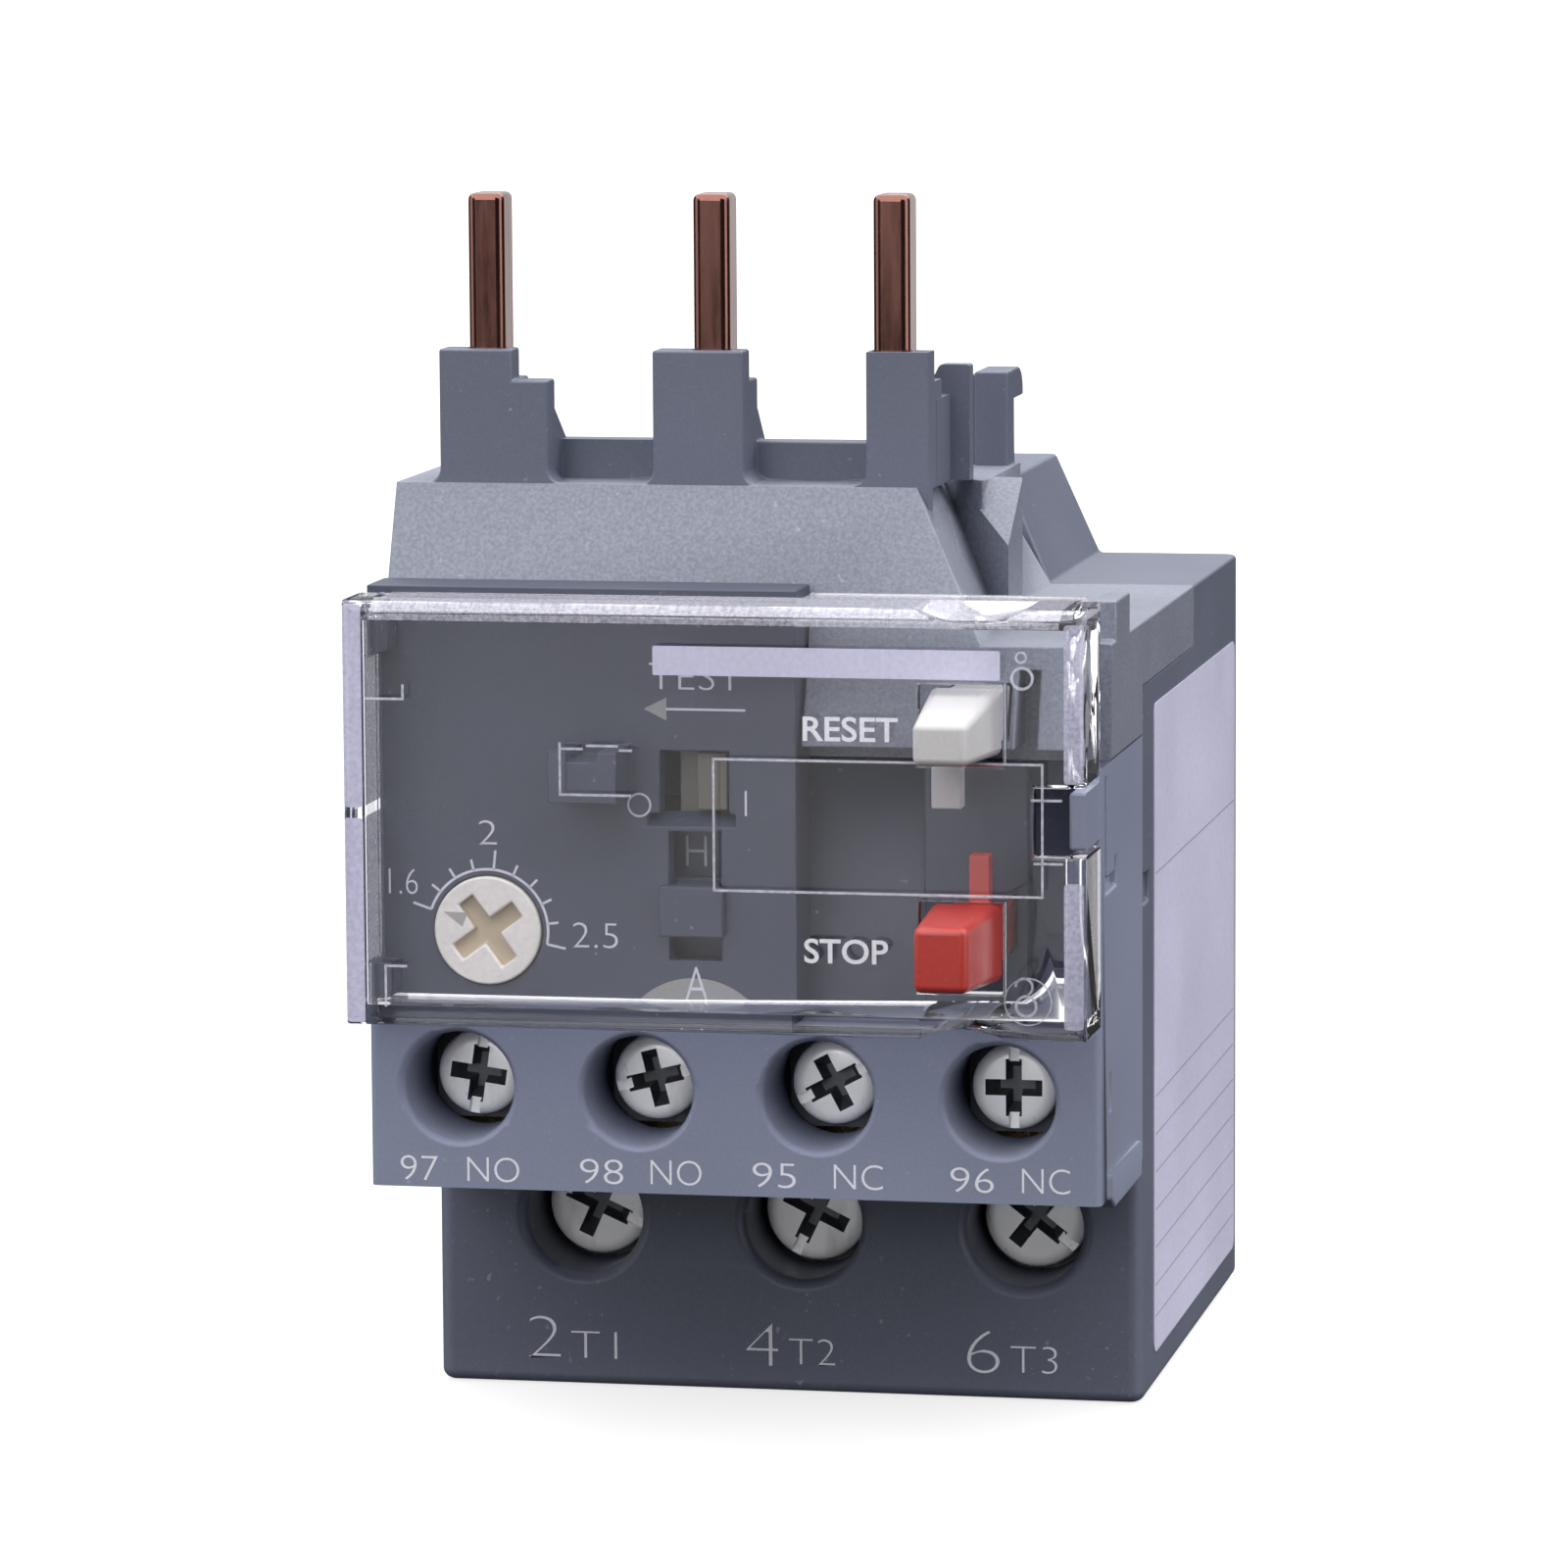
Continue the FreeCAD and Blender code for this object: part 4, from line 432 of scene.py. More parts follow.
def painted_veil(name, colour, cover):
    """Half-clear sheet that paints light in the clear cover, covering what lies behind it in fine grains."""
    tree, shader, place = start_material(name)
    skin = moulded_skin(tree, shader, place, colour, 3600.0, 0.04, (0.3, 0.5))
    veil = spread(tree, skin.outputs["Height"], 0.35, 0.65, cover[0], cover[1])
    tree.links.new(veil, shader.inputs["Alpha"])
    add_bump(tree, shader, skin.outputs["Height"], 0.06, 0.03 * MM)


def clear_plastic(name):
    """Clear moulded plastic that bends sight lines and lets light through to what lies behind it."""
    tree, shader, place = start_material(name)
    surface = next(n for n in tree.nodes if n.type == "OUTPUT_MATERIAL")
    skin = moulded_skin(tree, shader, place, (0.97, 0.97, 0.99, 1.0), 900.0, 0.01, (0.0, 0.008))
    shader.inputs["Transmission Weight"].default_value = 1.0
    shader.inputs["IOR"].default_value = 1.46
    add_bump(tree, shader, skin.outputs["Height"], 0.005, 0.02 * MM)
    rays = tree.nodes.new("ShaderNodeLightPath")
    passing = reckon(tree, "MAXIMUM", rays.outputs["Is Shadow Ray"], rays.outputs["Is Diffuse Ray"])
    through = tree.nodes.new("ShaderNodeBsdfTransparent")
    through.inputs["Color"].default_value = (0.93, 0.93, 0.95, 1.0)
    mixed = tree.nodes.new("ShaderNodeMixShader")
    tree.links.new(passing, mixed.inputs["Fac"])
    tree.links.new(shader.outputs["BSDF"], mixed.inputs[1])
    tree.links.new(through.outputs["BSDF"], mixed.inputs[2])
    tree.links.new(mixed.outputs["Shader"], surface.inputs["Surface"])


def make_finishes(colours):
    """Every finish of the relay, by name."""
    make_moulded_group()
    make_brushed_group()
    make_dust_group()
    body = tuple(colours.body)
    # Lighter blue-grey for the upper housing below the ridge: partly its real spark-eroded grain, partly
    # painted light from above on its upward slope.
    light = (0.19, 0.204, 0.256, 1.0)
    # Brighter copy of the body colour for the front block: painted light on the block front, which the cover
    # shades.
    lit_body = tuple(min(1.0, c * 1.85) for c in body[:3]) + (1.0,)
    dark = tuple(c * 0.72 for c in body[:3]) + (1.0,)
    nickel = tuple(colours.nickel)
    copper = tuple(colours.copper)
    brown = (0.16, 0.07, 0.045, 1.0)
    grey = (0.3, 0.28, 0.25, 1.0)
    plastic("body_plastic", body, 5200.0, 0.05, (0.42, 0.52), 0.14)
    plastic("grained_lit_plastic", light, 4300.0, 0.16, (0.4, 0.54), 0.42)
    plastic("lit_block_plastic", lit_body, 5200.0, 0.04, (0.42, 0.52), 0.1)
    plastic("panel_plastic", tuple(colours.panel), 3000.0, 0.02, (0.45, 0.52), 0.02)
    plastic("mechanism_plastic", dark, 5200.0, 0.05, (0.4, 0.5), 0.12)
    plastic("slider_plastic", (0.13, 0.117, 0.095, 1.0), 4200.0, 0.06, (0.4, 0.5), 0.12)
    plastic("reset_plastic", tuple(colours.reset), 4200.0, 0.03, (0.32, 0.42), 0.1, 0.1)
    plastic("stop_plastic", tuple(colours.stop), 4200.0, 0.06, (0.3, 0.42), 0.1, 0.1)
    # The tan is the painted shade of the dial's recess.
    dial_plastic("dial_plastic", tuple(colours.dial), (0.6, 0.5, 0.36, 1.0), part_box("adjusting_dial")[0].y)
    ink("print_ink", tuple(colours.ink), 5200.0)
    ink("label_paper", tuple(colours.paper), 3000.0)
    ink("rule_ink", (0.3, 0.3, 0.38, 1.0), 5200.0)
    ink("pointer_ink", (0.45, 0.43, 0.4, 1.0), 5200.0)
    metal("nickel_plate", nickel, grey, 1500.0, (1.0, 1.0, 0.35), (0.26, 0.42), 0.16, 0.15)
    # A dark plate that paints the shade on the washers and in the screws' recesses.
    metal("shaded_dull_plate", (0.09, 0.095, 0.11, 1.0), (0.04, 0.04, 0.045, 1.0), 1500.0, (1.0, 1.0, 0.35),
          (0.4, 0.6), 0.16, 0.4)
    metal("pin_copper", copper, brown, 1300.0, (1.0, 1.0, 0.12), (0.12, 0.26), 0.14)
    metal("inner_copper", copper, brown, 1100.0, (1.0, 0.3, 1.0), (0.25, 0.45), 0.16)
    metal("bimetal_strip", (0.56, 0.52, 0.47, 1.0), brown, 1100.0, (1.0, 1.0, 0.15), (0.25, 0.42), 0.16)
    metal("heater_wire", (0.42, 0.38, 0.34, 1.0), brown, 1600.0, (1.0, 1.0, 1.0), (0.35, 0.55), 0.2)
    metal("brass_strip", (0.72, 0.55, 0.28, 1.0), brown, 1200.0, (1.0, 0.3, 1.0), (0.2, 0.4), 0.14)
    metal("sprung_steel", (0.5, 0.5, 0.5, 1.0), grey, 1500.0, (0.3, 1.0, 1.0), (0.2, 0.36), 0.12)
    plastic("slot_plastic", (0.04, 0.045, 0.075, 1.0), 5200.0, 0.05, (0.4, 0.5), 0.12)
    ink("patch_ink", (0.34, 0.34, 0.34, 1.0), 5200.0)
    clear_plastic("clear_plastic")
    # The sheets below paint light in the clear cover: edge light in the walls, the highlight along the top, a
    # dim reflection in the left wall and the highlights on the relief.
    painted_veil("right_edge_light", (0.6, 0.6, 0.74, 1.0), (0.4, 0.66))
    painted_veil("pale_wall", (0.6, 0.59, 0.75, 1.0), (0.8, 0.92))
    painted_veil("top_highlight", (0.6, 0.59, 0.66, 1.0), (0.22, 0.52))
    painted_veil("left_wall_reflection", (0.2, 0.22, 0.3, 1.0), (0.5, 0.62))
    painted_veil("relief_highlight", (0.7, 0.7, 0.8, 1.0), (0.4, 0.6))


# ---------------------------------------------------------------- shaping

def put(name, data):
    """A new object in the scene that holds some data."""
    thing = bpy.data.objects.new(name, data)
    bpy.context.scene.collection.objects.link(thing)
    return thing


def add_piece(bm, name, finish, body, replaced=()):
    """Turn a finished bmesh into a named piece that rides on a body."""
    if not bm.faces:
        raise RuntimeError("no faces were made for " + name)
    mesh = bpy.data.meshes.new(name)
    bm.to_mesh(mesh)
    bm.free()
    mesh.materials.append(bpy.data.materials[finish])
    piece = put(name, mesh)
    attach(piece, body)
    if replaced:
        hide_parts(*replaced)
    return piece


def shade_soft(piece, angle=40.0, weighted=True):
    """Smooth shading that keeps crisp edges, with flat faces kept flat."""
    for polygon in piece.data.polygons:
        polygon.use_smooth = True
    piece.data.set_sharp_from_angle(angle=math.radians(angle))
    if weighted:
        even = piece.modifiers.new("even_shading", "WEIGHTED_NORMAL")
        even.keep_sharp = True


def paint(piece, finish, chosen):
    """Give a second finish to the faces whose middle passes a test."""
    piece.data.materials.append(bpy.data.materials[finish])
    for polygon in piece.data.polygons:
        if chosen(polygon.center):
            polygon.material_index = 1


def round_edges(bm, edges, width, steps):
    """Round some edges of a bmesh."""
    bmesh.ops.bevel(
        bm, geom=edges, offset=width, offset_type="OFFSET", affect="EDGES", segments=steps, profile=0.5,
        material=-1)


def merged_copy(node):
    """A bmesh of a node's solid with its loose triangles joined into flat faces."""
    bm = bmesh.new()
    bm.from_mesh(frame["nodes"][node].data)
    bmesh.ops.remove_doubles(bm, verts=bm.verts, dist=MERGE_GAP)
    bmesh.ops.dissolve_limit(
        bm, angle_limit=math.radians(0.5), use_dissolve_boundaries=False, verts=bm.verts, edges=bm.edges)
    return bm


def room_beside(edge, face):
    """How far a face reaches away from one of its edges."""
    start = edge.verts[0].co
    along = (edge.verts[1].co - start).normalized()
    return max(((v.co - start) - along * (v.co - start).dot(along)).length for v in face.verts)


def folded_faces(bm, mark):
    """The source marks of the faces whose triangles lie over one another."""
    covered = {}
    for corners in bm.calc_loop_triangles():
        face = corners[0].face
        covered[face] = covered.get(face, 0.0) + area_tri(*(corner.vert.co for corner in corners))
    return {face[mark] for face, area in covered.items() if area - face.calc_area() > FOLD_AREA}


def soften(bm, width, sharp, steps):
    """A copy of a bmesh, which is used up, with its crisp edges rounded where there is room and no fold."""
    crowded = set()
    for _ in range(FOLD_ROUNDS):
        soft = bm.copy()
        mark = soft.faces.layers.int.new("source")
        for index, face in enumerate(soft.faces):
            face[mark] = index
        crisp = [
            edge for edge in soft.edges
            if edge.is_manifold and edge.calc_face_angle() >= sharp and edge.calc_length() >= SHORT_EDGE * width
            and all(room_beside(edge, face) > EDGE_ROOM * width and face[mark] not in crowded
                    for face in edge.link_faces)]
        round_edges(soft, crisp, width, steps)
        bmesh.ops.remove_doubles(soft, verts=soft.verts, dist=WELD_GAP)
        bmesh.ops.dissolve_degenerate(soft, dist=WELD_GAP, edges=soft.edges)
        folded = folded_faces(soft, mark) - crowded
        if not folded:
            break
        crowded |= folded
    bm.free()
    return soft


def soft_copy(node, name, finish, body, width, cutter=None):
    """A piece that stands for a node, with its crisp edges rounded and a closed shape cut from it."""
    shell = bpy.context.scene.relay_shell
    bm = soften(merged_copy(node), width * MM, shell.sharp_angle, shell.edge_steps)
    piece = add_piece(bm, name, finish, body, (node,))
    if cutter:
        carve(piece, cutter)
    shade_soft(piece)
    return piece


def add_block(bm, low, high):
    """Add a box between two corners given in millimetres; gives back its vertices."""
    middle = Vector((a + b) * 0.5 for a, b in zip(low, high)) * MM
    span = Vector(b - a for a, b in zip(low, high)) * MM
    place = Matrix.Translation(middle) @ Matrix.Diagonal(span).to_4x4()
    return bmesh.ops.create_cube(bm, size=1.0, matrix=place)["verts"]


def edges_along(verts, axis):
    """The edges among some vertices that run along one axis."""
    edges = {edge for vert in verts for edge in vert.link_edges}
    return [e for e in edges if abs((e.verts[1].co - e.verts[0].co).normalized()[axis]) > 0.99]


def add_soft_block(bm, low, high, axis, radius, steps=3):
    """Add a box in millimetres whose edges along one axis are rounded."""
    round_edges(bm, edges_along(add_block(bm, low, high), axis), radius * MM, steps)


def faces_of(verts):
    """The faces that touch some vertices."""
    return list({face for vert in verts for face in vert.link_faces})


def thicken(bm, faces, depth):
    """Draw flat faces out along Z; gives back the new vertices."""
    grown = bmesh.ops.extrude_face_region(bm, geom=faces)["geom"]
    lifted = [item for item in grown if isinstance(item, bmesh.types.BMVert)]
    bmesh.ops.translate(bm, vec=(0.0, 0.0, depth), verts=lifted)
    return lifted


def add_text(bm, text, x0, x1, z0, z1, front, lift, weight=0.0):
    """Add words as thin solid print that fills a rectangle on a face looking forward."""
    curve = bpy.data.curves.new("lettering", "FONT")
    curve.body = text
    curve.size = 1.0
    curve.offset = weight
    curve.extrude = 0.01
    curve.resolution_u = 5
    holder = put("lettering", curve)
    graph = bpy.context.evaluated_depsgraph_get()
    mesh = bpy.data.meshes.new_from_object(holder.evaluated_get(graph))
    bpy.data.objects.remove(holder)
    bpy.data.curves.remove(curve)
    low = Vector(min(v.co[i] for v in mesh.vertices) for i in range(3))
    high = Vector(max(v.co[i] for v in mesh.vertices) for i in range(3))
    size = high - low
    scale = Matrix.Diagonal(((x1 - x0) * MM / size.x, (z1 - z0) * MM / size.y, 2.0 * lift / size.z, 1.0))
    centred = Matrix.Translation((-low.x, -low.y, -0.5 * (low.z + high.z)))
    placed = Matrix.Translation((x0 * MM, front * MM, z0 * MM)) @ FACE_FRONT
    mesh.transform(placed @ scale @ centred)
    bm.from_mesh(mesh)
    bpy.data.meshes.remove(mesh)


def add_tick(bm, centre, angle, near, far, width, front, lift):
    """Add a straight print mark that points away from a centre."""
    verts = add_block(bm, (near, -lift / MM, -0.5 * width), (far, lift / MM, 0.5 * width))
    turn = Matrix.Rotation(-math.radians(angle), 4, "Y")
    place = Matrix.Translation(Vector((centre[0], front, centre[1])) * MM)
    bmesh.ops.transform(bm, matrix=place @ turn, verts=verts)


def add_triangle(bm, centre, base, height, angle, front, lift):
    """Add a print triangle of a base and a height that points at an angle on a face looking forward."""
    verts = bmesh.ops.create_circle(bm, cap_ends=True, segments=3, radius=1.0)["verts"]
    every = list(verts) + thicken(bm, faces_of(verts), 2.0)
    shape = Matrix.Diagonal((base * MM / math.sqrt(3.0), height * MM / 1.5, lift, 1.0))
    middle = Matrix.Translation((0.0, 0.0, -1.0))
    turn = Matrix.Rotation(math.radians(90.0 - angle), 4, "Y")
    place = Matrix.Translation(Vector((centre[0], front, centre[1])) * MM)
    bmesh.ops.transform(bm, matrix=place @ turn @ FACE_FRONT @ shape @ middle, verts=every)
    bmesh.ops.recalc_face_normals(bm, faces=faces_of(every))


def add_arch(bm, left, right, foot, height, front, lift):
    """Add a flat print in the shape of a low arch on a face looking forward."""
    half = 0.5 * (right - left)
    radius = (height * height + half * half) / (2.0 * height)
    verts = bmesh.ops.create_circle(bm, cap_ends=True, segments=96, radius=radius * MM)["verts"]
    edges = list({edge for vert in verts for edge in vert.link_edges})
    level = Vector((0.0, (radius - height) * MM, 0.0))
    cut = bmesh.ops.bisect_plane(
        bm, geom=list(verts) + edges + faces_of(verts), plane_co=level, plane_no=(0.0, -1.0, 0.0),
        clear_outer=True)
    flat = [item for item in cut["geom"] if isinstance(item, bmesh.types.BMFace)]
    lifted = thicken(bm, flat, 2.0 * lift)
    every = list({vert for face in flat for vert in face.verts}) + lifted
    place = Matrix.Translation(Vector((0.5 * (left + right), front, foot - radius + height)) * MM)
    sunk = Matrix.Translation((0.0, 0.0, -lift))
    bmesh.ops.transform(bm, matrix=place @ FACE_FRONT @ sunk, verts=every)
    bmesh.ops.recalc_face_normals(bm, faces=faces_of(every))


def add_bar(bm, x0, x1, z0, z1, front, lift):
    """Add a straight flat print between two corners on a face looking forward."""
    add_block(bm, (x0, front - lift / MM, z0), (x1, front + lift / MM, z1))


def add_ring(bm, centre, radius, width, depth, front, start=0.0, sweep=360.0, steps=48):
    """Add a ring or an arc of square section that lies on a face looking forward."""
    known = set(bm.verts)
    inner, outer = radius - 0.5 * width, radius + 0.5 * width
    corners = ((inner, -depth), (outer, -depth), (outer, depth), (inner, depth))
    verts = [bm.verts.new(Vector((x, y, 0.0)) * MM) for x, y in corners]
    face = bm.faces.new(verts)
    turn = Matrix.Rotation(-math.radians(start), 4, "Y")
    bmesh.ops.transform(bm, matrix=turn, verts=verts)
    full = abs(sweep) >= 360.0
    bmesh.ops.spin(
        bm, geom=list(face.edges) + verts if full else [face], cent=(0.0, 0.0, 0.0),
        axis=(0.0, -1.0, 0.0), dvec=(0.0, 0.0, 0.0), angle=math.radians(sweep), steps=steps, use_merge=full)
    if full:
        bmesh.ops.delete(bm, geom=[face], context="FACES_ONLY")
    made = [vert for vert in bm.verts if vert not in known]
    place = Matrix.Translation(Vector((centre[0], front, centre[1])) * MM)
    bmesh.ops.transform(bm, matrix=place, verts=made)
    bmesh.ops.recalc_face_normals(bm, faces=faces_of(made))


def carve(piece, shape):
    """Cut a piece with the closed shapes of a bmesh, which is used up."""
    mesh = bpy.data.meshes.new("cutter")
    bmesh.ops.recalc_face_normals(shape, faces=shape.faces)
    shape.to_mesh(mesh)
    shape.free()
    cutter = put("cutter", mesh)
    cut = piece.modifiers.new("carve", "BOOLEAN")
    cut.operation = "DIFFERENCE"
    cut.solver = "EXACT"
    cut.object = cutter
    graph = bpy.context.evaluated_depsgraph_get()
    mesh = bpy.data.meshes.new_from_object(piece.evaluated_get(graph))
    piece.modifiers.remove(cut)
    old = piece.data
    piece.data = mesh
    bpy.data.meshes.remove(old)
    spent = cutter.data
    bpy.data.objects.remove(cutter)
    bpy.data.meshes.remove(spent)


# ---------------------------------------------------------------- operators

class RelayOperator:
    """Shared settings of the relay's operators."""

    bl_options = {"REGISTER", "UNDO"}


class RELAY_OT_finishes(RelayOperator, bpy.types.Operator):
    """Make the relay's finishes and give one to every solid"""

    bl_idname = "relay.finishes"
    bl_label = "Make finishes"

    WEARS = {
        "housing": "body_plastic", "panel": "panel_plastic", "clear_cover": "clear_plastic",
        "copper": "inner_copper", "bimetal": "bimetal_strip", "winding": "heater_wire",
        "plated_steel": "nickel_plate", "contact_brass": "brass_strip", "spring_steel": "sprung_steel",
        "dial_cream": "dial_plastic", "button_grey": "reset_plastic", "button_red": "stop_plastic",
        "mechanism": "mechanism_plastic",
    }
    # Washers take the dark plate as painted shade.
    SHADED_NODES = ("aux_washers", "load_washers")

    def execute(self, context):
        make_finishes(context.scene.relay_colours)
        slots = {row["node"]: row["material_slot"] for row in frame["record"]["subparts"]}
        for node, solid in frame["nodes"].items():
            finish = bpy.data.materials["shaded_dull_plate" if node in self.SHADED_NODES else self.WEARS[slots[node]]]
            solid.data.materials.clear()
            solid.data.materials.append(finish)
        return {"FINISHED"}


class RELAY_OT_shells(RelayOperator, bpy.types.Operator):
    """Round the edges of the moulded shells"""

    bl_idname = "relay.shells"
    bl_label = "Soften shells"

    FLANK_BLOCK = ((8.0, -29.5, 49.6), (16.2, -20.5, 57.82))
    FLANK_CUTS = (
        ((14.07, -28.0, 50.0), (-1.0, -0.05, -0.506)),
        ((10.85, -21.23, 57.0), (5.23, 4.15, 0.0)),
    )
    HOOK_WEB = ((9.95, -12.6, 57.4), (11.2, -11.0, 63.4))
    BLOCK_WALL = 20.5

    def execute(self, context):
        for node, slot, finish, width in SHELLS:
            cutter = self.make_flank_cutter() if node == "upper_housing" else None
            soft_copy(node, node + "_moulded", finish, "relay_body", width, cutter)
        # Above the ridge the upper housing takes the body colour; below it keeps the lighter grained colour,
        # which carries painted light on the slope.
        paint(bpy.data.objects["upper_housing_moulded"], "body_plastic",
              lambda spot: spot.z > (RIDGE + 0.05) * MM)
        paint(bpy.data.objects["front_housing_moulded"], "panel_plastic",
              lambda spot: spot.z > COVER_FOOT * MM and spot.x < self.BLOCK_WALL * MM)
        bm = bmesh.new()
        add_soft_block(bm, *self.HOOK_WEB, 2, 0.4)
        shade_soft(add_piece(bm, "hook_web", "body_plastic", "relay_body"))
        return {"FINISHED"}

    def make_flank_cutter(self):
        """The corner in front of the guard, outside the flank and ahead of a slanting upright face."""
        bm = bmesh.new()
        add_block(bm, *self.FLANK_BLOCK)
        for point, normal in self.FLANK_CUTS:
            made = bmesh.ops.bisect_plane(
                bm, geom=list(bm.verts) + list(bm.edges) + list(bm.faces), plane_co=Vector(point) * MM,
                plane_no=normal, clear_outer=True)
            rim = [item for item in made["geom_cut"] if isinstance(item, bmesh.types.BMEdge)]
            bmesh.ops.edgeloop_fill(bm, edges=rim)
        return bm


class RELAY_OT_controls(RelayOperator, bpy.types.Operator):
    """Soften the buttons, the slider, the selector and the dial, and make the springs"""

    bl_idname = "relay.controls"
    bl_label = "Make controls"

    # Node, ending of the piece's name, finish, material slot and width of the softened edges.
    CAPS = (
        ("reset_button", "_cap", "reset_plastic", "button_grey", 0.12),
        ("stop_button", "_cap", "stop_plastic", "button_red", 0.12),
        ("mode_selector", "_knob", "panel_plastic", "panel", 0.15),
        ("test_slider", "_flag", "slider_plastic", "mechanism", 0.12),
        ("adjusting_dial", "_head", "dial_plastic", "dial_cream", 0.16),
    )
    POINTER = ((-16.71, 32.36), 0.93, 1.4, 160.4)

    def execute(self, context):
        for node, ending, finish, slot, width in self.CAPS:
            soft_copy(node, node + ending, finish, node, width)
        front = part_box("adjusting_dial")[0].y / MM
        bm = bmesh.new()
        add_triangle(bm, *self.POINTER, front, context.scene.relay_shell.print_lift)
        add_piece(bm, "dial_pointer", "pointer_ink", "adjusting_dial")
        for button in ("reset", "stop"):
            self.make_spring(button + "_spring", button + "_push")
        return {"FINISHED"}

    def make_spring(self, node, joint):
        """A coil that stands for the spring's node and rides on the relay body."""
        bm = merged_copy(node)
        coil = add_piece(bm, node + "_coil", "sprung_steel", "relay_body", (node,))
        shade_soft(coil, weighted=False)
        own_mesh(coil)


class RELAY_OT_pins(RelayOperator, bpy.types.Operator):
    """Round the tips of the copper plug pins"""

    bl_idname = "relay.pins"
    bl_label = "Make plug pins"

    def execute(self, context):
        for side in ("left", "middle", "right"):
            node = "plug_pin_" + side
            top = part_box(node)[1].z
            bm = merged_copy(node)
            rim = [edge for edge in bm.edges if all(vert.co.z > top - MERGE_GAP for vert in edge.verts)]
            round_edges(bm, rim, TIP_ROUND * MM, 4)
            shade_soft(add_piece(bm, node + "_blade", "pin_copper", "relay_body", (node,)))
        return {"FINISHED"}


class RELAY_OT_screws(RelayOperator, bpy.types.Operator):
    """Turn the terminal screws with a cross recess and a slot"""

    bl_idname = "relay.screws"
    bl_label = "Make screws"

    # Shares of the head's radius.
    HEAD_DEPTH = 0.62
    CROSS_REACH = 0.74
    SLOT_REACH = 1.2
    RECESS_REACH = 0.8
    # Depths in millimetres, steps round the crown, and how far the cross narrows.
    OVERCUT = 0.5
    CROSS_DEPTH = 1.6
    SLOT_DEPTH = 0.45
    CROWN_STEPS = 5
    CROSS_TAPER = 0.55

    def execute(self, context):
        for row in SCREW_ROWS:
            self.make_row(*row)
        return {"FINISHED"}

    def make_row(self, node, spots, height, radius, shank):
        """One row of screws that stands for a node, each turned its own way."""
        low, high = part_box(node)
        screws = bpy.context.scene.relay_screws
        bm = bmesh.new()
        crosses = bmesh.new()
        slots = bmesh.new()
        for across, turn in spots:
            axis = Vector((across * MM, 0.0, height * MM))
            self.add_screw(bm, axis, low.y, high.y, radius * MM, shank * MM, screws)
            spin = Matrix.Rotation(-math.radians(turn), 4, "Y")
            place = Matrix.Translation((axis.x, low.y, axis.z)) @ spin
            self.add_cross(crosses, place, radius, screws)
            self.add_slot(slots, place, radius, screws)
        piece = add_piece(bm, node + "_turned", "nickel_plate", "relay_body", (node,))
        carve(piece, crosses)
        carve(piece, slots)
        shade_soft(piece, 32.0)

        def in_recess(spot):
            out = min((spot - Vector((x * MM, spot.y, height * MM))).length for x, _ in spots)
            return spot.y > low.y + 0.2 * MM and out < (self.RECESS_REACH * radius - 0.1) * MM

        # The cross recess and the slot are painted with the dark plate as shade.
        paint(piece, "shaded_dull_plate", in_recess)

    def add_screw(self, bm, axis, front, back, radius, shank, screws):
        """Spin the profile of one screw about its axis."""
        crown = screws.crown
        seat = front + self.HEAD_DEPTH * radius
        profile = [(0.0, front)]
        for step in range(self.CROWN_STEPS + 1):
            angle = math.radians(90.0 * step / self.CROWN_STEPS)
            out, back_off = math.sin(angle), math.cos(angle)
            profile.append((radius - crown + crown * out, front + crown - crown * back_off))
        profile += [(radius, seat), (shank, seat), (shank, back), (0.0, back)]
        verts = [bm.verts.new((axis.x + out, y, axis.z)) for out, y in profile]
        edges = [bm.edges.new(pair) for pair in zip(verts, verts[1:])]
        bmesh.ops.spin(
            bm, geom=verts + edges, cent=(axis.x, 0.0, axis.z), axis=(0.0, 1.0, 0.0), dvec=(0.0, 0.0, 0.0),
            angle=math.tau, steps=screws.round_steps, use_merge=True)
        bmesh.ops.remove_doubles(bm, verts=bm.verts, dist=MERGE_GAP)
        bmesh.ops.recalc_face_normals(bm, faces=bm.faces)

    def add_cross(self, bm, place, radius, screws):
        """Add the tapered cross that cuts one head: a core with four arms drawn out of it."""
        half = 0.5 * screws.cross_width / MM
        verts = add_block(bm, (-half, -self.OVERCUT, -half), (half, self.CROSS_DEPTH, half))
        middle = Vector((0.0, 0.5 * (self.CROSS_DEPTH - self.OVERCUT) * MM, 0.0))
        reach = (self.CROSS_REACH * radius - half) * MM
        made = set(verts)
        for face in faces_of(verts):
            out = face.calc_center_median() - middle
            if abs(out.y) > self.OVERCUT * MM:
                continue
            grown = bmesh.ops.extrude_discrete_faces(bm, faces=[face])["faces"][0]
            bmesh.ops.translate(bm, vec=out.normalized() * reach, verts=list(grown.verts))
            made.update(grown.verts)
        deep = [vert for vert in made if vert.co.y > self.OVERCUT * MM]
        bmesh.ops.scale(bm, vec=(self.CROSS_TAPER, 1.0, self.CROSS_TAPER), verts=deep)
        bmesh.ops.transform(bm, matrix=place, verts=list(made))

    def add_slot(self, bm, place, radius, screws):
        """Add the straight slot that crosses one head."""
        half = 0.5 * screws.slot_width / MM
        reach = self.SLOT_REACH * radius
        verts = add_block(bm, (-reach, -self.OVERCUT, -half), (reach, self.SLOT_DEPTH, half))
        bmesh.ops.transform(bm, matrix=place, verts=verts)


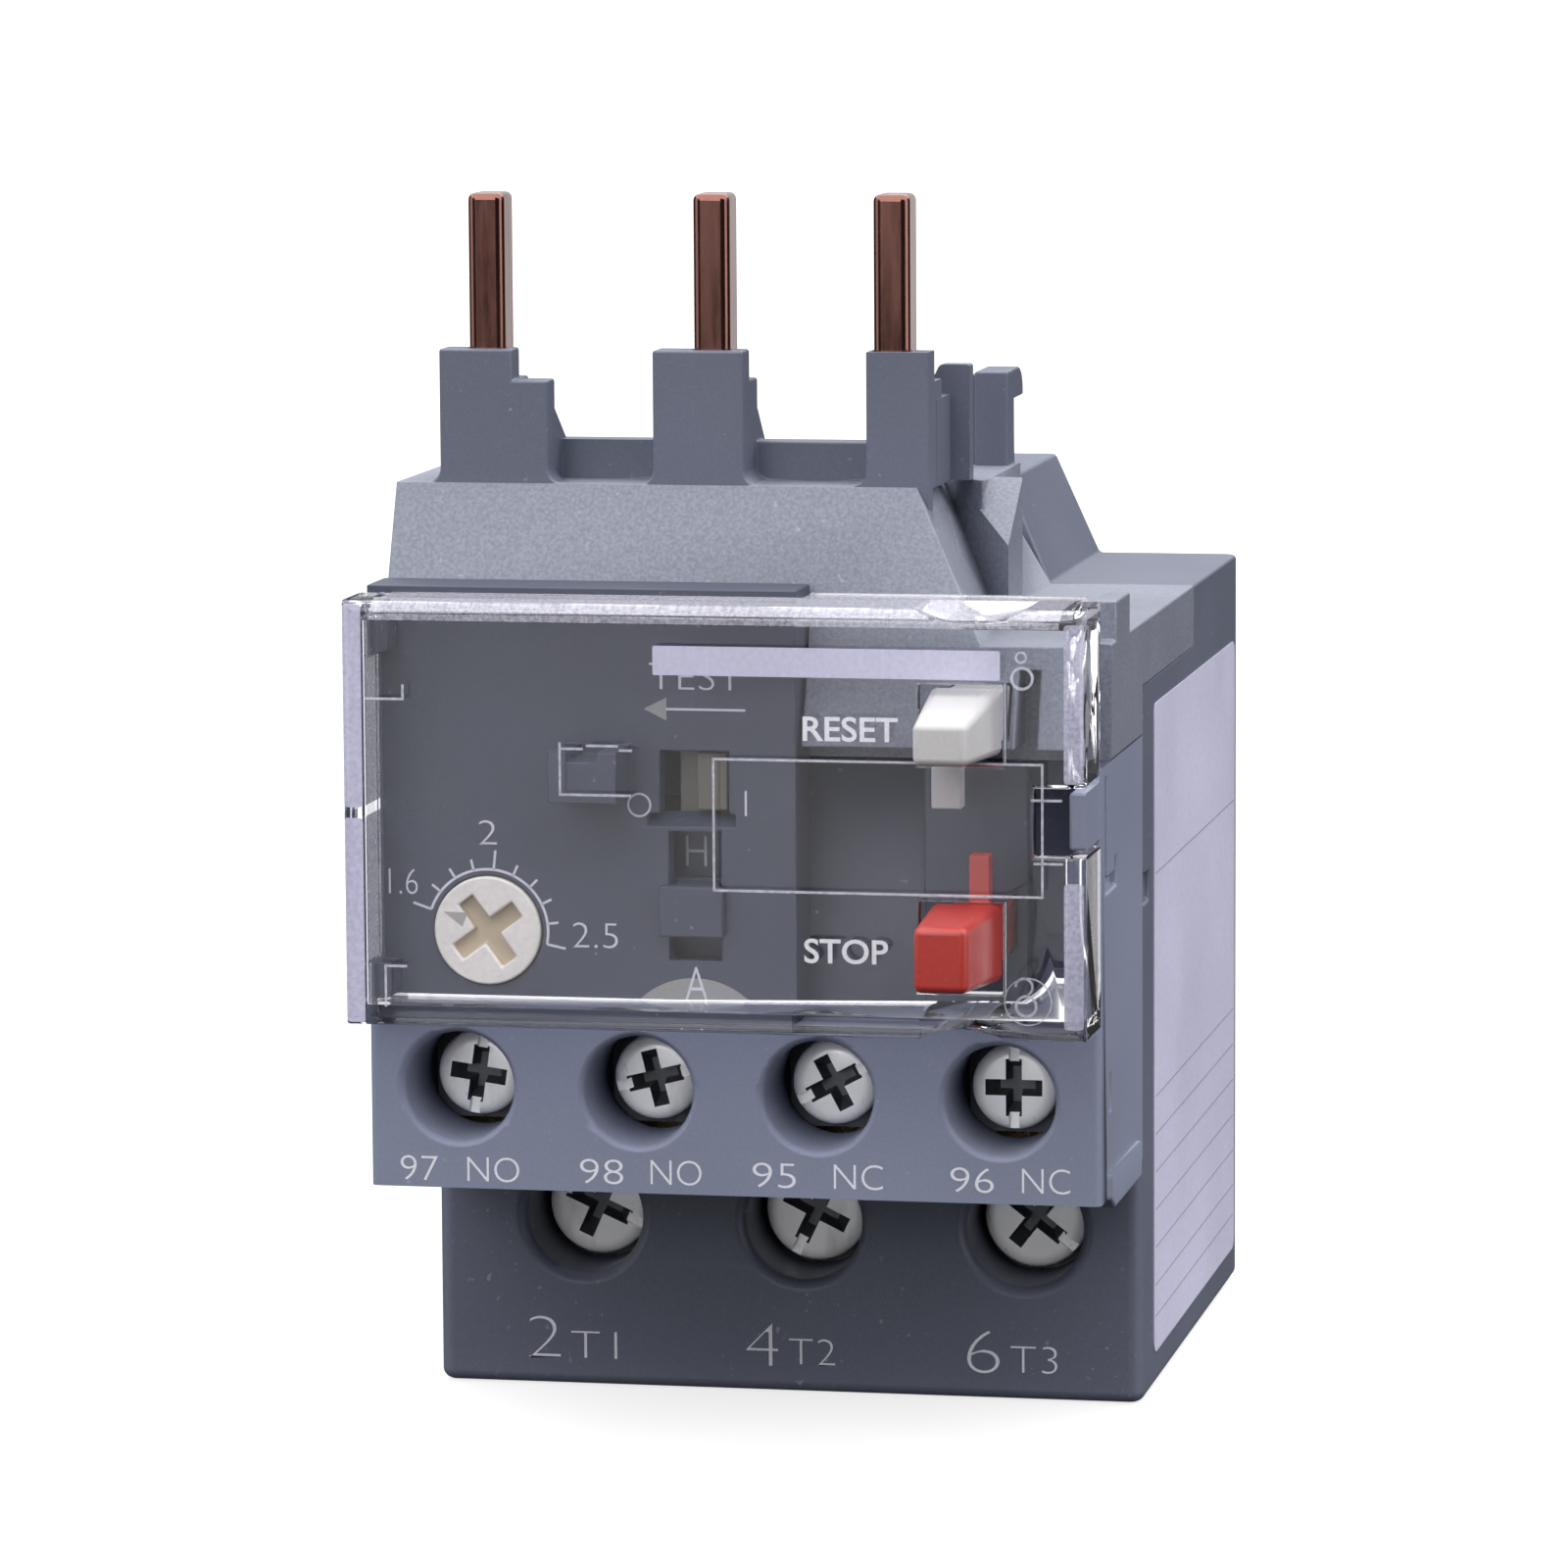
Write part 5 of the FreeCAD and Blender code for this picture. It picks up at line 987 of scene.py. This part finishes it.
class RELAY_OT_cover(RelayOperator, bpy.types.Operator):
    """Make the clear cover with its relief lines, strip, icons and words"""

    bl_idname = "relay.cover"
    bl_label = "Make clear cover"

    RELIEF_LINES = (
        (0.24, 42.95, 19.95, 42.95), (0.24, 35.1, 19.95, 35.1), (0.24, 35.1, 0.24, 42.95),
        (19.95, 35.1, 19.95, 42.95), (-9.08, 40.65, -4.82, 40.65), (-9.08, 40.65, -9.08, 43.7),
        (19.35, 40.85, 21.05, 40.85), (19.5, 37.1, 21.1, 37.1), (-8.95, 43.4, -7.75, 43.4),
        (-7.4, 43.6, -5.6, 43.6),
        (-5.4, 43.35, -4.75, 43.35), (-20.9, 46.2, -18.65, 46.2), (-18.65, 46.2, -18.65, 47.0),
        (-19.9, 27.7, -19.9, 30.1), (-19.9, 30.1, -18.65, 30.1),
    )
    RELIEF_RINGS = (
        (18.76, 48.04, 0.62, 0.16, 0.0, 360.0), (18.7, 49.28, 0.3, 0.12, 0.0, 360.0),
        (18.97, 28.6, 0.6, 0.16, 0.0, 360.0), (18.85, 29.75, 0.5, 0.14, -60.0, 240.0),
        (19.08, 28.87, 1.4, 0.07, 0.0, 360.0),
    )
    RELIEF_HALF = 0.07
    WORDS = (("RESET", 5.64, 11.35, 44.12, 45.6), ("STOP", 5.66, 10.71, 30.87, 32.35))
    STRIP = (-3.39, 17.45, 47.9, 49.64)
    FACE_DEPTH = (COVER_FRONT + 0.3, COVER_FRONT + 0.36)
    # Left, right, foot and top of the strips behind the face, which paint the edge light of the right and left
    # walls, with grain.
    FACE_VEILS = (
        ("cover_frost", "right_edge_light", ((21.2, 22.35, 27.2, 35.9), (21.2, 22.35, 41.8, 51.2))),
        ("cover_pale_edge", "pale_wall", ((-22.4, -21.25, 26.6, 38.95), (-22.4, -21.25, 39.6, 51.8))),
    )
    # Radius and steps of the rounded edges, and the corners of the sheets in the left wall and the top; the
    # left wall's sheets paint a dim reflection and the top's sheets paint the highlight along the top wall.
    WALL_VEILS = (
        ("cover_hazy_wall", "left_wall_reflection", 0.2, 3,
         (((-21.4, -42.7, 26.8), (-21.34, -35.6, 38.95)), ((-21.4, -42.7, 39.6), (-21.34, -35.6, 51.0)))),
        ("cover_top_haze", "top_highlight", 0.02, 2,
         (((-20.8, -43.4, 51.3), (20.9, -36.2, 51.38)), ((-20.8, -43.7, 50.9), (20.9, -43.62, 51.28)))),
    )

    def execute(self, context):
        lift = context.scene.relay_shell.print_lift
        node = "sealing_cover"
        soft_copy(node, node + "_shell", "clear_plastic", node, 0.16)
        self.print_cover(lift)
        self.make_relief(lift)
        self.make_cover_light_sheets()
        return {"FINISHED"}

    def print_cover(self, lift):
        """The words beside the buttons and the bare pale strip above them."""
        bm = bmesh.new()
        for word in self.WORDS:
            add_text(bm, *word, COVER_FRONT, lift, BOLD)
        add_piece(bm, "cover_words", "print_ink", "sealing_cover")
        bm = bmesh.new()
        left, right, foot, top = self.STRIP
        depth = 2.0 * lift / MM
        add_soft_block(bm, (left, COVER_FRONT - depth, foot), (right, COVER_FRONT + depth, top), 1, 0.1)
        add_piece(bm, "cover_strip", "label_paper", "sealing_cover")

    def make_relief(self, lift):
        """Moulded lines, latch slits and lock rings of the cover's face: raised bars stand for the relief, and
        their pale colour is painted highlight.
        """
        bm = bmesh.new()
        line = self.RELIEF_HALF
        for x0, z0, x1, z1 in self.RELIEF_LINES:
            add_bar(bm, x0 - line, x1 + line, z0 - line, z1 + line, COVER_FRONT, 3.0 * lift)
        for x, z, radius, width, start, sweep in self.RELIEF_RINGS:
            add_ring(bm, (x, z), radius, width, 3.0 * lift / MM, COVER_FRONT, start, sweep, 32)
        add_piece(bm, "cover_relief", "relief_highlight", "sealing_cover")

    def make_cover_light_sheets(self):
        """Sheets of painted light in the cover: edge light of the walls seen through the face, a dim reflection
        in the left wall and the highlight along the top.
        """
        near, far = self.FACE_DEPTH
        for name, finish, strips in self.FACE_VEILS:
            bm = bmesh.new()
            for left, right, foot, top in strips:
                add_soft_block(bm, (left, near, foot), (right, far, top), 1, 0.2)
            add_piece(bm, name, finish, "sealing_cover")
        for name, finish, radius, steps, sheets in self.WALL_VEILS:
            bm = bmesh.new()
            for low, high in sheets:
                add_soft_block(bm, low, high, 0, radius, steps)
            add_piece(bm, name, finish, "sealing_cover")


class RELAY_OT_prints(RelayOperator, bpy.types.Operator):
    """Print the dial scale, the control words and the terminal numbers"""

    bl_idname = "relay.prints"
    bl_label = "Print marks"

    LONG_TICKS = (0, 5, 9)
    LAST_TICK = 9
    PANEL_WORDS = (
        ("1.6", -21.05, -19.25, 33.65, 35.2), ("2", -15.42, -14.3, 36.75, 38.25),
        ("2.5", -9.65, -6.87, 30.6, 32.15), ("TEST", -4.8, 0.85, 46.38, 48.0),
    )
    SLOT_BLOCK = ((-4.6, SLOT_FLOOR, 29.2), (0.6, -33.95, 38.2))

    def execute(self, context):
        lift = context.scene.relay_shell.print_lift
        self.print_panel(lift)
        self.print_terminals(lift)
        return {"FINISHED"}

    def print_panel(self, lift):
        """The scale round the dial and the marks round the slider and the selector."""
        bm = bmesh.new()
        add_ring(bm, DIAL_CENTRE, SCALE_RADIUS, 0.16, lift / MM, PANEL_FRONT, SCALE_START, SCALE_SWEEP, 40)
        for step in range(self.LAST_TICK + 1):
            far = 4.9 if step in self.LONG_TICKS else 4.4
            angle = SCALE_START + SCALE_SWEEP * step / self.LAST_TICK
            add_tick(bm, DIAL_CENTRE, angle, SCALE_RADIUS, far, 0.15, PANEL_FRONT, lift)
        for word in self.PANEL_WORDS:
            add_text(bm, *word, PANEL_FRONT, lift, THIN)
        add_ring(bm, (-5.48, 39.37), 0.68, 0.13, lift / MM, PANEL_FRONT, 0.0, 360.0, 40)
        add_bar(bm, 0.99, 1.12, 38.83, 40.35, PANEL_FRONT, lift)
        add_text(bm, "A", -2.75, -1.35, 27.55, 29.6, PANEL_FRONT, 2.0 * lift, -0.014)
        add_bar(bm, -3.8, 1.07, 45.13, 45.27, PANEL_FRONT, lift)
        add_piece(bm, "panel_marks", "print_ink", "relay_body")
        bm = bmesh.new()
        add_triangle(bm, (-4.23, 45.2), 1.38, 1.4, 180.0, PANEL_FRONT, lift)
        add_arch(bm, -5.5, 1.19, 27.6, 1.32, PANEL_FRONT, lift)
        add_piece(bm, "panel_patches", "patch_ink", "relay_body")
        bm = bmesh.new()
        add_soft_block(bm, *self.SLOT_BLOCK, 1, 0.2, 2)
        add_piece(bm, "selector_slot_floor", "slot_plastic", "relay_body")
        bm = bmesh.new()
        add_text(bm, "H", -3.28, -1.99, 35.3, 37.14, SLOT_FLOOR, lift, -0.014)
        add_piece(bm, "selector_letter", "print_ink", "relay_body")

    def print_terminals(self, lift):
        """The numbers below the terminal wells."""
        bm = bmesh.new()
        for text, left, right, foot in TERMINAL_MARKS:
            add_text(bm, text, left, right, foot, foot + 1.52, BLOCK_FRONT, lift, -0.016)
        for digit, phase, left in LOAD_MARKS:
            add_text(bm, digit, left, left + 2.05, 1.65, 4.35, BASE_FRONT, lift, -0.028)
            add_text(bm, phase, left + 2.75, left + 5.7, 1.75, 3.45, BASE_FRONT, lift, -0.024)
        add_piece(bm, "terminal_marks", "print_ink", "relay_body")


class RELAY_OT_label(RelayOperator, bpy.types.Operator):
    """Lay the bare ruled label on the right side"""

    bl_idname = "relay.label"
    bl_label = "Make side label"

    FRONT, BACK, FOOT, TOP = -16.9, 19.4, 2.3, 43.4
    CORNER = 0.9
    RULES = (32.7, 18.6, 16.2, 13.8, 11.4, 9.0, 6.6, 4.6)
    RULE_INSET = 0.6
    RULE_HALF = 0.05
    RULE_LIFT = 0.01

    def execute(self, context):
        lift = context.scene.relay_shell.label_lift / MM
        face = SIDE_RIGHT + lift
        bm = bmesh.new()
        low = (SIDE_RIGHT - lift, self.FRONT, self.FOOT)
        add_soft_block(bm, low, (face, self.BACK, self.TOP), 0, self.CORNER, 5)
        add_piece(bm, "side_label", "label_paper", "relay_body")
        bm = bmesh.new()
        front, back = self.FRONT + self.RULE_INSET, self.BACK - self.RULE_INSET
        for rule in self.RULES:
            add_block(bm, (face - self.RULE_LIFT, front, rule - self.RULE_HALF),
                      (face + self.RULE_LIFT, back, rule + self.RULE_HALF))
        add_piece(bm, "label_rules", "rule_ink", "relay_body")
        return {"FINISHED"}


class RELAY_OT_stage(RelayOperator, bpy.types.Operator):
    """Set up the pale floor, the soft lights and the camera"""

    bl_idname = "relay.stage"
    bl_label = "Set the stage"

    FLOOR_DROP = 0.05 * MM
    FLOOR_GREY = (0.24, 0.24, 0.24, 1.0)
    FLOOR_GLOW = 0.74
    STUDIO_TINT = (0.95, 0.96, 1.0, 1.0)
    STUDIO_GLOW = 0.07
    # Name, place, aim, size and power of each lamp, and the pieces that a card lights.
    LAMPS = (
        ("sky_panel", (0.0, 1.2, 3.0), (0.0, 1.2, 0.0), 10.0, 850.0),
        ("left_softbox", (-0.9, -0.3, 0.25), (0.0, 0.0, 0.03), 0.7, 2.2),
        ("right_softbox", (0.9, -0.2, 0.25), (0.0, 0.0, 0.03), 0.7, 3.4),
        ("front_softbox", (-0.35, -1.3, 0.75), (0.0, 0.0, 0.03), 0.8, 3.7),
        ("low_softbox", (-0.2, -1.4, 0.3), (0.0, 0.0, 0.03), 0.5, 2.3),
    )
    CARDS = (
        ("screw_card", (-0.02, -0.6, 0.12), (0.0, 0.0, 0.02), 0.25, 0.5,
         ("aux_screws_turned", "load_screws_turned")),
        ("pin_card", (0.1, 0.6, 0.25), (0.0, 0.0, 0.065), 0.7, 1.25,
         ("plug_pin_left_blade", "plug_pin_middle_blade", "plug_pin_right_blade")),
    )

    def execute(self, context):
        self.make_floor(context)
        self.make_lights(context)
        self.make_camera(context)
        context.scene.view_settings.view_transform = "Standard"
        return {"FINISHED"}

    def make_floor(self, context):
        """A plain pale floor that reaches past the picture."""
        stage = context.scene.relay_stage
        bm = bmesh.new()
        bmesh.ops.create_grid(bm, x_segments=4, y_segments=4, size=stage.floor_half)
        bmesh.ops.translate(bm, vec=(0.0, 0.0, -self.FLOOR_DROP), verts=bm.verts)
        mesh = bpy.data.meshes.new("floor")
        bm.to_mesh(mesh)
        bm.free()
        floor = put("floor", mesh)
        tree, shader, place = start_material("pale_floor")
        moulded_skin(tree, shader, place, self.FLOOR_GREY, 300.0, 0.002, (0.8, 0.9))
        shader.inputs["Emission Color"].default_value = (1.0, 1.0, 1.0, 1.0)
        shader.inputs["Emission Strength"].default_value = self.FLOOR_GLOW
        mesh.materials.append(bpy.data.materials["pale_floor"])
        floor.visible_glossy = False
        floor.visible_diffuse = False

    def make_lights(self, context):
        """Large soft lamps, cards that light only some pieces, and a pale surrounding."""
        for lamp in self.LAMPS:
            self.add_lamp(*lamp)
        for *lamp, pieces in self.CARDS:
            holder = self.add_lamp(*lamp)
            holder.visible_camera = False
            lit = bpy.data.collections.new(holder.name + "_lit")
            for piece in pieces:
                lit.objects.link(bpy.data.objects[piece])
            holder.light_linking.receiver_collection = lit
        world = bpy.data.worlds.new("studio")
        world.use_nodes = True
        ground = next(n for n in world.node_tree.nodes if n.type == "BACKGROUND")
        ground.inputs["Color"].default_value = self.STUDIO_TINT
        ground.inputs["Strength"].default_value = self.STUDIO_GLOW
        context.scene.world = world

    def add_lamp(self, name, place, aim, size, power):
        """A square lamp that looks at a point; gives back its object."""
        lamp = bpy.data.lights.new(name, "AREA")
        lamp.shape = "SQUARE"
        lamp.size = size
        lamp.energy = power
        holder = put(name, lamp)
        look = Vector(aim) - Vector(place)
        holder.matrix_world = Matrix.Translation(place) @ look.to_track_quat("-Z", "Y").to_matrix().to_4x4()
        return holder

    def make_camera(self, context):
        """A long lens at the photograph's place and tilt."""
        stage = context.scene.relay_stage
        right = Vector((math.cos(stage.yaw), math.sin(stage.yaw), 0.0))
        level = math.cos(stage.pitch)
        ahead = Vector((-math.sin(stage.yaw) * level, math.cos(stage.yaw) * level, -math.sin(stage.pitch)))
        down = ahead.cross(right)
        across = right * math.cos(stage.roll) - down * math.sin(stage.roll)
        below = right * math.sin(stage.roll) + down * math.cos(stage.roll)
        lens = bpy.data.cameras.new("photo_camera")
        lens.lens = stage.lens
        lens.sensor_width = 36.0
        lens.clip_start = 0.01
        lens.clip_end = 50.0
        camera = put("photo_camera", lens)
        turn = Matrix((across, -below, -ahead)).transposed().to_4x4()
        camera.matrix_world = Matrix.Translation(stage.eye) @ turn
        context.scene.camera = camera


OPERATORS = (
    RELAY_OT_finishes, RELAY_OT_shells, RELAY_OT_controls, RELAY_OT_pins, RELAY_OT_screws, RELAY_OT_cover,
    RELAY_OT_prints, RELAY_OT_label, RELAY_OT_stage,
)


class RELAY_PT_dressing(bpy.types.Panel):
    """Lists the steps that dress the relay"""

    bl_idname = "RELAY_PT_dressing"
    bl_label = "Relay dressing"
    bl_space_type = "VIEW_3D"
    bl_region_type = "UI"
    bl_category = "Relay"

    def draw(self, context):
        for operator in OPERATORS:
            self.layout.operator(operator.bl_idname)
        for settings in (context.scene.relay_shell, context.scene.relay_colours,
                         context.scene.relay_screws, context.scene.relay_stage):
            box = self.layout.box()
            for label in settings.__annotations__:
                box.prop(settings, label)


SETTINGS = (
    ("relay_shell", RelayShellSettings), ("relay_colours", RelayColourSettings),
    ("relay_screws", RelayScrewSettings), ("relay_stage", RelayStageSettings),
)


def register():
    """Register the settings, the operators and the panel."""
    for label, group in SETTINGS:
        bpy.utils.register_class(group)
        setattr(bpy.types.Scene, label, PointerProperty(type=group))
    for operator in OPERATORS:
        bpy.utils.register_class(operator)
    bpy.utils.register_class(RELAY_PT_dressing)


def unregister():
    """Take away what register added."""
    bpy.utils.unregister_class(RELAY_PT_dressing)
    for operator in reversed(OPERATORS):
        bpy.utils.unregister_class(operator)
    for label, group in reversed(SETTINGS):
        delattr(bpy.types.Scene, label)
        bpy.utils.unregister_class(group)


def main():
    """Dress the relay step by step."""
    register()
    bpy.ops.relay.finishes()
    bpy.ops.relay.shells()
    bpy.ops.relay.controls()
    bpy.ops.relay.pins()
    bpy.ops.relay.screws()
    bpy.ops.relay.cover()
    bpy.ops.relay.prints()
    bpy.ops.relay.label()
    bpy.ops.relay.stage()


if __name__ == "__main__":
    main()
